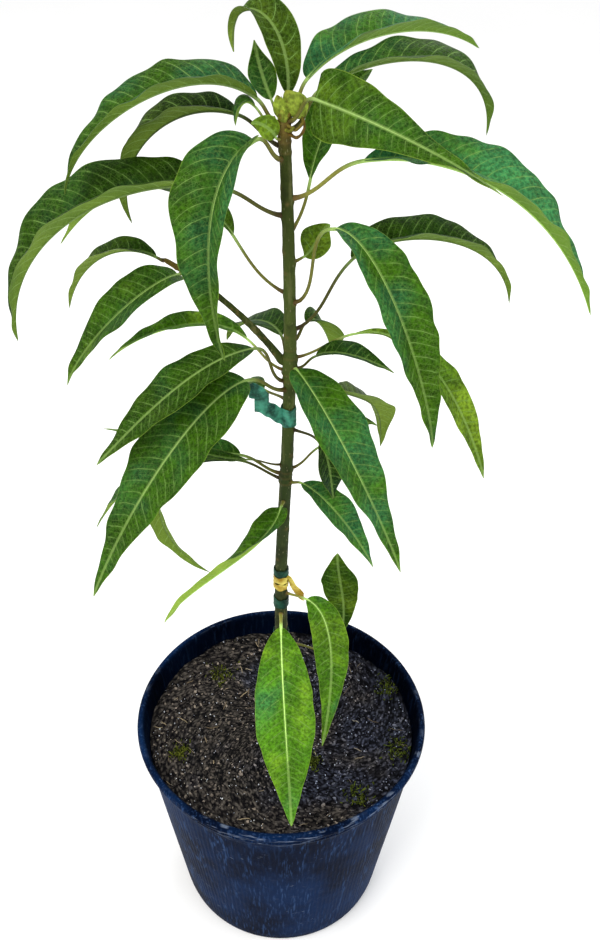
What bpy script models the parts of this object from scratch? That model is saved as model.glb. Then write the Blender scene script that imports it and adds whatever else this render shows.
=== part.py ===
"""A young mango tree in its round nursery pot: pot, potting mix, stem, side shoot, tip, tapes and 40 leaves.

The origin is the centre of the pot's flat underside, with +Z up and the side that is looked at facing -Y.
A heading is an angle seen from above: 0 is +X, 90 is +Y, 180 is -X and 270 is -Y.
"""

import math
from collections import namedtuple

import bmesh
import bpy
import numpy as np

MM = 0.001
GAP = 0.3 * MM

# Pot
POT_HEIGHT = 235 * MM
POT_TOP_RADIUS = 139.5 * MM
POT_FOOT_RADIUS = 104 * MM
POT_WALL = 2.5 * MM
POT_FLOOR = 3 * MM
LIP_DEPTH = 9 * MM
LIP_OVERHANG = 4.5 * MM
BEAD_DEPTH = 5 * MM
BEAD_OVERHANG = 2 * MM
POT_SIDES = 64

# Potting mix
MIX_HEIGHT = 210 * MM

# Stem
STEM_FOOT = MIX_HEIGHT + GAP
STEM_TOP = 806 * MM
STEM_FOOT_RADIUS = 6 * MM
STEM_TOP_RADIUS = 3.9 * MM
FLARE_RADIUS = 3.5 * MM
FLARE_HEIGHT = 14 * MM
GRAFT_HEIGHT = 626 * MM
GRAFT_SWELL = 1 * MM
GRAFT_REACH = 12 * MM
BOW_FROM = 420 * MM
BOW_TO = 860 * MM
BOW_WIDTH = 6.5 * MM
STEM_SIDES = 14
STEM_STEPS = 34

# Side shoot, one tapering limb that carries two leaves
SHOOT_JOINT = 629 * MM
SHOOT_HEADING = 172
SHOOT_RISE = 42
SHOOT_LENGTH = 112 * MM
SHOOT_FOOT_RADIUS = 2.6 * MM
SHOOT_TIP_RADIUS = 1.7 * MM
SHOOT_LEVELLING = 22

# Growing tip
TIP_HEIGHT = 19 * MM
TIP_RADIUS = 5.2 * MM

# Leaves
PETIOLE_FOOT_RADIUS = 2.1 * MM
PETIOLE_RADIUS = 1.4 * MM
THICKNESS_SHARE = 0.0105
LEAST_THICKNESS = 1.3 * MM
TIP_HALF_WIDTH = 0.9 * MM
BLADE_STEPS = 12
PETIOLE_STEPS = 3
CROWNING = 0.5

# One row a leaf, in mm and degrees.
# joint: height of its joint on the stem. way, rise, stalk: the heading, rise and length of its stalk.
# lift: the blade's pitch at its base. tip_way, reach, high: where its tip is, from the stem's foot.
# drop: the blade's pitch at its tip, downwards. turn: how far it has swung left there.
# lead, trail: how far it runs on in its first and last direction, as a share of base to tip.
# wide: its widest. belly: where that is, as a share of its length. fold: how far each half stands up.
# roll: how far its left side is lifted at the base, and twist: how much more at the tip.
LeafSizes = namedtuple(
    "LeafSizes",
    "name joint way rise stalk lift lead tip_way reach high drop trail turn wide belly fold roll twist",
)
LEAVES = [
    LeafSizes("top_1",     799,  74,  80, 20,  82, 1.30, 150,  34, 842,  100, 0.95,   0, 29, 0.42, 20, -70, 110),
    LeafSizes("top_2",     806, 133,  50, 12,  55, 0.35, 120,  34, 846,  -70, 0.35,   0, 19, 0.42, 22, -25,  0),
    LeafSizes("top_3",     803, 180,  50, 20,  40, 0.34, 189, 140, 764,   79, 0.35,   0, 48, 0.40, 26,   0,  0),
    LeafSizes("top_4",     788, 152,  27, 34,   8, 0.45, 168, 106, 727,  106, 0.47,   0, 44, 0.45, 30,   0,  0),
    LeafSizes("top_5",     806,  44,  52, 26,  32, 0.31,  31, 158, 828,   32, 0.37,   0, 46, 0.42, 28,  -2,  0),
    LeafSizes("top_6",     799,   2,  54, 30,  38, 0.38,   2, 132, 794,   92, 0.52,   0, 48, 0.50, 20,   0,  0),
    LeafSizes("top_7",     805, 322,  42, 26,  -5, 0.30, 328, 152, 787,   24, 0.30,   0, 42, 0.12,  4,  80, -98),
    LeafSizes("top_8",     797, 187,  50, 22,  49, 0.70, 188,  29, 803,   80, 0.60,   0, 20, 0.50, 20,   0,  0),
    LeafSizes("upper_1",   781, 225,  38, 29, -10, 0.36, 240,  74, 667,  111, 0.48,   0, 55, 0.33, 34,  12,  0),
    LeafSizes("upper_2",   742, 185,  27, 45,  12, 0.38, 189, 185, 662,   92, 0.44,   0, 60, 0.46, 34,  -4,  0),
    LeafSizes("upper_3",   684, 158,  44, 53,  55, 0.32, 153, 192, 682,   52, 0.55,   0, 40, 0.45, 25,   0,  0),
    LeafSizes("upper_4",   754, 350,  32, 53,  12, 0.31, 346, 210, 694,   68, 0.47,   0, 58, 0.50, 28,  16, -30),
    LeafSizes("upper_5",   729,  60,  47, 37,  68, 0.40,  46,  89, 819,  -20, 0.35,   0, 40, 0.55, 20,   0,  0),
    LeafSizes("upper_6",   678, 322,  63, 72,  10, 0.22, 320, 134, 612,   80, 0.30,   0, 45, 0.48, 26,   8,  0),
    LeafSizes("upper_7",   708,  20,  20,  7,  20, 0.30,  20,  36, 730,  -10, 0.30,   0, 24, 0.50, 20,  45,  0),
    LeafSizes("middle_1",  655,  12,  52, 64,  43, 0.26,  10, 172, 661,   80, 0.48,   0, 42, 0.42, 30,   0,  0),
    LeafSizes("middle_2",  645,  40,  45, 15,  20, 0.35,  30,  45, 621,   80, 0.35,   0, 36, 0.50, 20,   0,  0),
    LeafSizes("middle_3",  624, 340,  43, 19,  33, 0.35, 348,  84, 629,   25, 0.35,   0, 26, 0.42, 25,   0,  0),
    LeafSizes("middle_4",  632,   6,  23, 42,  14, 0.32, 353, 159, 535,   72, 0.45,   0, 28, 0.62, 20,   0, 45),
    LeafSizes("middle_5",  605,  40, -25, 50, -38, 0.38,  40, 113, 500,   93, 0.50,   0, 42, 0.45, 20,   0,  0),
    LeafSizes("middle_6",  624, 300,  40,  4,  -8, 0.20, 313, 129, 505,   58, 0.36,   0, 53, 0.42, 15,  -8,  0),
    LeafSizes("middle_7",  621, 170,  42, 35,  40, 0.33, 175, 130, 623,   45, 0.35,   0, 27, 0.45, 22,   0,  0),
    LeafSizes("middle_8",  613, 208,  55, 42,   6, 0.33, 208, 148, 585,   38, 0.30,   0, 42, 0.45,  8,  -6,  0),
    LeafSizes("middle_9",  606, 220,  32, 42,   8, 0.20, 216, 172, 487,   64, 0.40,   0, 60, 0.42,  8, -12,  0),
    LeafSizes("middle_10", 632, 115,  50, 14,  20, 0.35, 125,  75, 612,   60, 0.40,   0, 34, 0.45, 15,   0,  0),
    LeafSizes("middle_11", 594,  75,   0, 20,   0, 0.35,  52,  96, 455,   65, 0.40,   0, 36, 0.45, 20,   0,  0),
    LeafSizes("middle_12", 593, 125, -12, 30,  -5, 0.30, 130, 104, 480,   60, 0.40,   0, 36, 0.45, 20,   0,  0),
    LeafSizes("lower_1",   525, 175,  27, 35,   8, 0.29, 172, 161, 449,   63, 0.45,   0, 46, 0.42, 20,   0,  0),
    LeafSizes("lower_2",   518, 150,   6, 38, -10, 0.67, 155,  71, 390,  155, 0.63,   0, 38, 0.42, 20,   0,  0),
    LeafSizes("lower_3",   535, 198,  22, 30,  10, 0.30, 186, 135, 578,  -10, 0.30,   0, 18, 0.45, 20,   0,  0),
    LeafSizes("lower_4",   519, 320,  20, 12,   0, 0.30, 326,  88, 469,   55, 0.35,   0, 32, 0.45, 20,   0,  0),
    LeafSizes("lower_5",   569, 335, -15, 22, -50, 0.30, 330,  47, 518,   75, 0.30,   0, 30, 0.45, 20,   0,  0),
    LeafSizes("lower_6",   530,  10,  40, 28,  30, 0.35,  12,  78, 560,   40, 0.35,   0, 28, 0.45, 20,   0,  0),
    LeafSizes("lower_7",   500, 255, -10,  6, -35, 0.30, 217, 117, 428,   55, 0.30,   0, 36, 0.25, 20,   0, 100),
    LeafSizes("foot_1",    373, 270,   0, 16, -12, 0.30, 274, 130, 239,   55, 0.30,   0, 53, 0.42, 10,   0,  0),
    LeafSizes("foot_2",    396, 330,   5, 20,  -5, 0.26, 293,  92, 291,   60, 0.38, -32, 32, 0.40, 15,   0,  0),
    LeafSizes("foot_3",    329,  10, -15, 45,  60, 0.35,  15,  51, 428,  -95, 0.35,   0, 34, 0.72, 15,   0,  0),
    LeafSizes("young_1",   794, 226,  30,  5,  60, 0.30, 207,  21, 806,   20, 0.30,   0, 16, 0.45, 20, -65,  0),
]

# Leaves at the end of the side shoot. Here joint counts the shoot's steps back from its end.
SHOOT_LEAVES = [
    LeafSizes("shoot_1",     0, 165,  20,  5,  22, 0.35, 168, 162, 655,   75, 0.45,   0, 30, 0.45, 25,   0,  0),
    LeafSizes("shoot_2",     1, 250,  10,  6,  20, 0.40, 190, 156, 625,   65, 0.35,   0, 42, 0.42, 20,  -8,  0),
]

# Tape wound once round the stem: its lower and upper height, the heading where it starts,
# and the tag that it starts from, as rows of x, y, low and high.
TapeSizes = namedtuple("TapeSizes", "name low high start tag")
TAPES = [
    TapeSizes("tape_top", 573, 589, 200, [(-23, -9, 598, 617), (-16, -9, 594, 613), (-11, -7, 588, 606)]),
    TapeSizes("tape_yellow", 402, 416, 350, [(20, -4, 387, 397), (14, -5, 394, 406), (10, -4, 401, 413)]),
    TapeSizes("tape_green", 380, 390, 60, []),
    TapeSizes("tape_low", 337, 348, 60, []),
]
TAPE_THICKNESS = 1.2 * MM
TAPE_STEPS = 16
TAPE_WRAP = 330


def heading_vector(degrees):
    angle = math.radians(degrees)
    return np.array([math.cos(angle), math.sin(angle), 0.0])


def pitched_vector(heading, pitch):
    """A unit vector towards a heading, raised by a pitch."""
    rise = math.radians(pitch)
    return math.cos(rise) * heading_vector(heading) + np.array([0.0, 0.0, math.sin(rise)])


def unit(vector):
    return vector / np.linalg.norm(vector)


def smooth_step(start, end, value):
    share = min(max((value - start) / (end - start), 0.0), 1.0)
    return share * share * (3 - 2 * share)


def stem_centre(height):
    """The stem leans out and back in one slow bow."""
    share = min(max((height - BOW_FROM) / (BOW_TO - BOW_FROM), 0.0), 1.0)
    return np.array([BOW_WIDTH * math.sin(math.pi * share) ** 1.2, 0.0, height])


def stem_radius(height):
    share = (height - STEM_FOOT) / (STEM_TOP - STEM_FOOT)
    radius = STEM_FOOT_RADIUS + share * (STEM_TOP_RADIUS - STEM_FOOT_RADIUS)
    radius += FLARE_RADIUS * math.exp(-(height - STEM_FOOT) / FLARE_HEIGHT)
    radius += GRAFT_SWELL * math.exp(-(((height - GRAFT_HEIGHT) / GRAFT_REACH) ** 2))
    return radius


def bezier(points, share):
    a, b, c, d = points
    rest = 1 - share
    return rest**3 * a + 3 * rest**2 * share * b + 3 * rest * share**2 * c + share**3 * d


def half_width(share, belly):
    """The outline of a mango leaf from base to tip, as a share of its widest, which is at the belly."""
    spread = share ** (math.log(0.5) / math.log(belly))
    body = max(math.sin(math.pi * spread), 0.0) ** 0.72
    return body * (1 - 0.45 * smooth_step(belly, 1.0, share))


def leaf_frames(sizes, joint):
    """The leaf's centre line as rows of centre, along, left side, upwards, half width and half thickness."""
    start_way = heading_vector(sizes.way)
    stalk_way = pitched_vector(sizes.way, sizes.rise)
    base = joint + sizes.stalk * MM * stalk_way
    tip = heading_vector(sizes.tip_way) * sizes.reach * MM
    tip[2] = sizes.high * MM
    chord = tip - base
    chord_heading = math.degrees(math.atan2(chord[1], chord[0]))
    span = np.linalg.norm(chord)
    lift_way = pitched_vector(sizes.way, sizes.lift)
    drop_way = pitched_vector(chord_heading + sizes.turn, -sizes.drop)
    stalk_pull = 0.4 * sizes.stalk * MM
    stalk = [joint, joint + stalk_pull * unit(start_way + stalk_way), base - stalk_pull * lift_way, base]
    blade = [base, base + sizes.lead * span * lift_way, tip - sizes.trail * span * drop_way, tip]
    shares = [(step / PETIOLE_STEPS) for step in range(PETIOLE_STEPS)]
    centres = [bezier(stalk, share) for share in shares]
    centres += [bezier(blade, step / BLADE_STEPS) for step in range(BLADE_STEPS + 1)]
    length = sum(np.linalg.norm(b - a) for a, b in zip(centres, centres[1:]))
    thickness = max(THICKNESS_SHARE * length, LEAST_THICKNESS)
    left = unit(np.cross([0.0, 0.0, 1.0], heading_vector(chord_heading)))
    rows = []
    for index, centre in enumerate(centres):
        before = centres[max(index - 1, 0)]
        after = centres[min(index + 1, len(centres) - 1)]
        along = start_way if index == 0 else unit(after - before)
        side = unit(left - np.dot(left, along) * along)
        up = np.cross(along, side)
        share = max(index - PETIOLE_STEPS, 0) / BLADE_STEPS
        turned = math.radians(sizes.roll + sizes.twist * share)
        if index < PETIOLE_STEPS:
            turned *= index / PETIOLE_STEPS
        lifted_side = math.cos(turned) * side + math.sin(turned) * up
        lifted_up = math.cos(turned) * up - math.sin(turned) * side
        if index < PETIOLE_STEPS:
            narrow = PETIOLE_FOOT_RADIUS + (PETIOLE_RADIUS - PETIOLE_FOOT_RADIUS) * min(index, 1)
            half_thick = narrow
        else:
            narrow = max(half_width(share, sizes.belly) * sizes.wide / 2 * MM, TIP_HALF_WIDTH)
            narrow = max(narrow, PETIOLE_RADIUS * (1 - 2 * share))
            half_thick = thickness / 2
            if index == PETIOLE_STEPS:
                half_thick = max(half_thick, PETIOLE_RADIUS)
        rows.append((centre, along, lifted_side, lifted_up, narrow, half_thick))
    return rows


def leaf_ring(row, fold, flat):
    """Ten corners round the leaf: five along its upper face, then five back along its lower face."""
    centre, _, side, up, narrow, half_thick = row
    across = (1.0, 0.5, 0.0, -0.5, -1.0)
    angle = math.radians(fold) * flat
    upper = []
    lower = []
    for share in across:
        reach = abs(share)
        out = share * narrow * math.cos(angle)
        rise = narrow * math.sin(angle) * (reach * (1 + CROWNING) - CROWNING * reach * reach)
        middle = centre + side * out + up * rise
        body = half_thick * (flat + (1 - flat) * max(math.sqrt(1 - reach * reach), 0.35))
        upper.append(middle + up * body)
        lower.append(middle - up * body)
    return upper + lower[::-1]


def link_object(name, mesh, *materials):
    for material in materials:
        mesh.materials.append(material)
    obj = bpy.data.objects.new(name, mesh)
    bpy.context.scene.collection.objects.link(obj)
    return obj


def loft(name, rings, materials, lower_from=None):
    """A closed tube through rings of corners. Faces after lower_from in a ring take the second material."""
    bm = bmesh.new()
    rows = [[bm.verts.new(corner) for corner in ring] for ring in rings]
    count = len(rings[0])
    for first, second in zip(rows, rows[1:]):
        for index in range(count):
            other = (index + 1) % count
            face = bm.faces.new((first[index], first[other], second[other], second[index]))
            if lower_from is not None and lower_from <= index < count - 1:
                face.material_index = 1
    bm.faces.new(list(reversed(rows[0])))
    bm.faces.new(rows[-1])
    bmesh.ops.recalc_face_normals(bm, faces=bm.faces)
    mesh = bpy.data.meshes.new(name)
    bm.to_mesh(mesh)
    bm.free()
    mesh.shade_smooth()
    mesh.set_sharp_from_angle(angle=math.radians(40))
    return link_object(name, mesh, *materials)


def make_leaf(sizes, joint, materials):
    rows = leaf_frames(sizes, joint)
    rings = []
    for index, row in enumerate(rows):
        flat = smooth_step(PETIOLE_STEPS - 1, PETIOLE_STEPS + 1, index)
        rings.append(leaf_ring(row, sizes.fold, flat))
    return loft("leaf_" + sizes.name, rings, materials, lower_from=5)


def stem_joint(sizes):
    """The petiole starts a gap away from the stem's side."""
    height = sizes.joint * MM
    return stem_centre(height) + (stem_radius(height) + GAP) * heading_vector(sizes.way)


def tube_rings(centres, radii, sides):
    rings = []
    for index, (centre, radius) in enumerate(zip(centres, radii)):
        before = centres[max(index - 1, 0)]
        after = centres[min(index + 1, len(centres) - 1)]
        along = unit(after - before)
        side = unit(np.cross(along, [0.0, 1.0, 0.0]))
        other = np.cross(along, side)
        ring = []
        for corner in range(sides):
            angle = 2 * math.pi * corner / sides
            ring.append(centre + radius * (math.cos(angle) * side + math.sin(angle) * other))
        rings.append(ring)
    return rings


def make_stem(material):
    heights = [STEM_FOOT + FLARE_HEIGHT * share for share in (0, 0.4, 1, 2)]
    first = heights[-1]
    heights += [first + (STEM_TOP - first) * step / STEM_STEPS for step in range(1, STEM_STEPS + 1)]
    rings = []
    for height in heights:
        ring = []
        for corner in range(STEM_SIDES):
            way = heading_vector(360 * corner / STEM_SIDES)
            ring.append(stem_centre(height) + stem_radius(height) * way)
        rings.append(ring)
    return loft("stem", rings, [material])


def shoot_path():
    """The side shoot's centre line: it leaves the stem steeply and levels out."""
    start = stem_centre(SHOOT_JOINT)
    start = start + (stem_radius(SHOOT_JOINT) + GAP) * heading_vector(SHOOT_HEADING)
    steps = 8
    centres = [start]
    for step in range(steps):
        pitch = SHOOT_RISE + SHOOT_LEVELLING * (0.5 - step / (steps - 1))
        centres.append(centres[-1] + SHOOT_LENGTH / steps * pitched_vector(SHOOT_HEADING, pitch))
    return centres


def shoot_joint(sizes):
    return shoot_path()[-1 - sizes.joint] + (SHOOT_TIP_RADIUS + 2 * GAP) * heading_vector(sizes.way)


def make_shoot(material):
    centres = shoot_path()
    last = len(centres) - 1
    radii = [SHOOT_FOOT_RADIUS + (SHOOT_TIP_RADIUS - SHOOT_FOOT_RADIUS) * i / last for i in range(last + 1)]
    rings = tube_rings(centres, radii, 10)
    foot = centres[0]
    way = heading_vector(SHOOT_HEADING)
    for corner, point in enumerate(rings[0]):
        offset = point - foot
        rings[0][corner] = foot + unit(offset - np.dot(offset, way) * way) * SHOOT_FOOT_RADIUS
    return loft("side_shoot", rings, [material])


def make_tape(sizes, material):
    """A flat band that starts as a tag beside the stem and then runs round it."""
    centre = stem_centre((sizes.low + sizes.high) / 2 * MM)
    radius = stem_radius(sizes.low * MM) + GAP + TAPE_THICKNESS / 2
    path = [(np.array([x, y, 0.0]) * MM, low * MM, high * MM) for x, y, low, high in sizes.tag]
    for step in range(TAPE_STEPS + 1):
        way = heading_vector(sizes.start + TAPE_WRAP * step / TAPE_STEPS)
        path.append((centre * [1, 1, 0] + radius * way, sizes.low * MM, sizes.high * MM))
    rings = []
    for index, (place, low, high) in enumerate(path):
        before = path[max(index - 1, 0)][0]
        after = path[min(index + 1, len(path) - 1)][0]
        out = np.cross(unit(after - before), [0.0, 0.0, 1.0]) * TAPE_THICKNESS / 2
        foot = place + np.array([0.0, 0.0, low])
        top = place + np.array([0.0, 0.0, high])
        rings.append([foot - out, foot + out, top + out, top - out])
    return loft(sizes.name, rings, [material])


def make_growing_tip(material):
    """The closed bud on top of the stem, fat below and pointed above."""
    foot = stem_centre(STEM_TOP) + np.array([0.0, 0.0, GAP])
    rings = []
    for share in (0.0, 0.12, 0.3, 0.5, 0.7, 0.87, 1.0):
        swell = STEM_TOP_RADIUS + (TIP_RADIUS - STEM_TOP_RADIUS) * smooth_step(0, 0.3, share)
        radius = max(swell * math.cos(0.5 * math.pi * share) ** 0.8, 0.6 * MM) if share > 0.3 else swell
        centre = foot + np.array([0.0, 0.0, TIP_HEIGHT * share])
        rings.append([centre + radius * heading_vector(360 * corner / 10) for corner in range(10)])
    return loft("growing_tip", rings, [material])


def turned_solid(name, profile, sides, material):
    """A closed profile of radius and height pairs, turned round Z. A pair on the axis becomes one corner."""
    bm = bmesh.new()
    rings = []
    for radius, height in profile:
        if radius == 0:
            rings.append([bm.verts.new((0, 0, height))])
            continue
        ring = []
        for corner in range(sides):
            way = heading_vector(360 * corner / sides)
            ring.append(bm.verts.new((radius * way[0], radius * way[1], height)))
        rings.append(ring)
    for first, second in zip(rings, rings[1:]):
        for corner in range(sides):
            other = (corner + 1) % sides
            corners = [first[corner % len(first)], first[other % len(first)]]
            corners += [second[other % len(second)], second[corner % len(second)]]
            bm.faces.new(list(dict.fromkeys(corners)))
    bmesh.ops.recalc_face_normals(bm, faces=bm.faces)
    mesh = bpy.data.meshes.new(name)
    bm.to_mesh(mesh)
    bm.free()
    mesh.shade_smooth()
    mesh.set_sharp_from_angle(angle=math.radians(30))
    return link_object(name, mesh, material)


def wall_radius(height):
    """The pot's outer wall, a plain taper from its foot to under its lip."""
    under_lip = POT_TOP_RADIUS - LIP_OVERHANG
    return POT_FOOT_RADIUS + (under_lip - POT_FOOT_RADIUS) * height / POT_HEIGHT


def make_pot(material):
    lip_foot = POT_HEIGHT - LIP_DEPTH
    bead_top = lip_foot - 4 * MM
    bead_foot = bead_top - BEAD_DEPTH
    inner_top = POT_TOP_RADIUS - LIP_OVERHANG - POT_WALL
    profile = [
        (0, 0),
        (POT_FOOT_RADIUS - 4 * MM, 0),
        (POT_FOOT_RADIUS, 4 * MM),
        (wall_radius(bead_foot), bead_foot),
        (wall_radius(bead_foot) + BEAD_OVERHANG, bead_foot + 1.5 * MM),
        (wall_radius(bead_top) + BEAD_OVERHANG, bead_top - 1.5 * MM),
        (wall_radius(bead_top), bead_top),
        (wall_radius(lip_foot), lip_foot),
        (POT_TOP_RADIUS - 1 * MM, lip_foot + 1 * MM),
        (POT_TOP_RADIUS, lip_foot + 3 * MM),
        (POT_TOP_RADIUS, POT_HEIGHT - 2 * MM),
        (POT_TOP_RADIUS - 2 * MM, POT_HEIGHT),
        (inner_top, POT_HEIGHT),
        (POT_FOOT_RADIUS - POT_WALL, POT_FLOOR),
        (0, POT_FLOOR),
    ]
    return turned_solid("pot", profile, POT_SIDES, material)


def inner_radius(height):
    inner_top = POT_TOP_RADIUS - LIP_OVERHANG - POT_WALL
    foot = POT_FOOT_RADIUS - POT_WALL
    return foot + (inner_top - foot) * (height - POT_FLOOR) / (POT_HEIGHT - POT_FLOOR)


def make_mix(material):
    low = POT_FLOOR + GAP
    clear = 2 * GAP
    profile = [
        (0, low),
        (inner_radius(low) - clear, low),
        (inner_radius(MIX_HEIGHT) - clear, MIX_HEIGHT),
        (0, MIX_HEIGHT),
    ]
    return turned_solid("potting_mix", profile, POT_SIDES, material)


def make_material(name, colour, roughness):
    material = bpy.data.materials.new(name)
    material.use_nodes = True
    shader = material.node_tree.nodes["Principled BSDF"]
    shader.inputs["Base Color"].default_value = (*colour, 1.0)
    shader.inputs["Roughness"].default_value = roughness
    shader.inputs["Metallic"].default_value = 0.0
    return material


def main():
    for obj in list(bpy.data.objects):
        bpy.data.objects.remove(obj, do_unlink=True)
    leaf_upper = make_material("leaf_upper", (0.04, 0.13, 0.02), 0.4)
    leaf_lower = make_material("leaf_lower", (0.19, 0.29, 0.06), 0.6)
    bark = make_material("bark", (0.05, 0.06, 0.02), 0.7)
    bud = make_material("bud", (0.30, 0.32, 0.08), 0.6)
    plastic = make_material("pot_plastic", (0.012, 0.02, 0.05), 0.35)
    green_tape = make_material("green_tape", (0.03, 0.12, 0.10), 0.45)
    yellow_tape = make_material("yellow_tape", (0.62, 0.52, 0.20), 0.45)
    mix = make_material("potting_mix", (0.035, 0.022, 0.015), 0.95)
    make_pot(plastic)
    make_mix(mix)
    make_stem(bark)
    make_shoot(bark)
    make_growing_tip(bud)
    for sizes in LEAVES:
        make_leaf(sizes, stem_joint(sizes), (leaf_upper, leaf_lower))
    for sizes in SHOOT_LEAVES:
        make_leaf(sizes, shoot_joint(sizes), (leaf_upper, leaf_lower))
    for sizes in TAPES:
        make_tape(sizes, yellow_tape if sizes.name == "tape_yellow" else green_tape)


main()
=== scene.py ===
import math
from collections import namedtuple

import bmesh
import bpy
import numpy as np
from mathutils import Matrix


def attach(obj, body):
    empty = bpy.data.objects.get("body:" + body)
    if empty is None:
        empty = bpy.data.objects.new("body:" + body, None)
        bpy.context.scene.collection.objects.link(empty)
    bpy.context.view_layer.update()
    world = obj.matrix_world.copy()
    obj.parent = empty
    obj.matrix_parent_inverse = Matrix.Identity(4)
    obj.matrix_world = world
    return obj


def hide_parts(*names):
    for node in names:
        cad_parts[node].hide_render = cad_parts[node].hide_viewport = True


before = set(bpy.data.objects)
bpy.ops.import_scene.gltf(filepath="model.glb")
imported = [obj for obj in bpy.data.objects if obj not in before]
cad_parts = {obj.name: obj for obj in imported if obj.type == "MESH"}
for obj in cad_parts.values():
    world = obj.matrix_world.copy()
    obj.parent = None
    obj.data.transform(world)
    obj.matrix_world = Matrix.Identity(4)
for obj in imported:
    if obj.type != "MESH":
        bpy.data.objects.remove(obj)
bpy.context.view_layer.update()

MM = 0.001
TURN = 2 * math.pi

# Pot and potting mix, in mm
POT_HEIGHT = 235
POT_TOP_RADIUS = 139.5
POT_FOOT_RADIUS = 104
POT_WALL = 2.5
POT_FLOOR = 3
LIP_OVERHANG = 4.5
POT_INNER_TOP = POT_TOP_RADIUS - LIP_OVERHANG - POT_WALL
POT_INNER_FOOT = POT_FOOT_RADIUS - POT_WALL
POT_SIDES = 640
POT_RIBS = 160
RIB_HEIGHT = 0.16
DENTS = 9
MIX_HEIGHT = 210
MIX_CLEAR = 0.6
MIX_SIDES = 300
LUMP_ROUGHNESS = 0.18

# Stem
STEM_FOOT = 210.3 * MM
STEM_TOP = 806 * MM
STEM_FOOT_RADIUS = 6 * MM
STEM_TOP_RADIUS = 3.9 * MM
FLARE_RADIUS = 3.5 * MM
FLARE_HEIGHT = 14 * MM
GRAFT_HEIGHT = 626 * MM
GRAFT_SWELL = 1 * MM
GRAFT_REACH = 12 * MM
BOW_FROM = 420 * MM
BOW_TO = 860 * MM
BOW_WIDTH = 6.5 * MM
GAP = 0.3 * MM
BARK_SIDES = 48
SCAR_WIDTH = 0.62

# Side shoot
SHOOT_JOINT = 629 * MM
SHOOT_HEADING = 172
SHOOT_RISE = 42
SHOOT_LENGTH = 112 * MM
SHOOT_FOOT_RADIUS = 2.6 * MM
SHOOT_TIP_RADIUS = 1.7 * MM
SHOOT_LEVELLING = 22
SHOOT_STEPS = 8

# Leaves, in mm
CROWNING = 0.5
STALK_STEPS = 16
GRID_SPACING = 1.5
BLADE_THICKNESS = 0.5
FOOT_RADIUS = 2.0
STALK_RADIUS = 1.25
RIB_RADIUS = 0.8
RIB_SIDES = 10
VEIN_SPACING = 6.4
VEIN_SPREAD = 0.017
VEIN_LEAN = 0.36
VEIN_CURVE = 0.014
WAVE_HEIGHT = 0.95
QUILT_HEIGHT = 0.32
SCALLOP = 0.014

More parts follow.
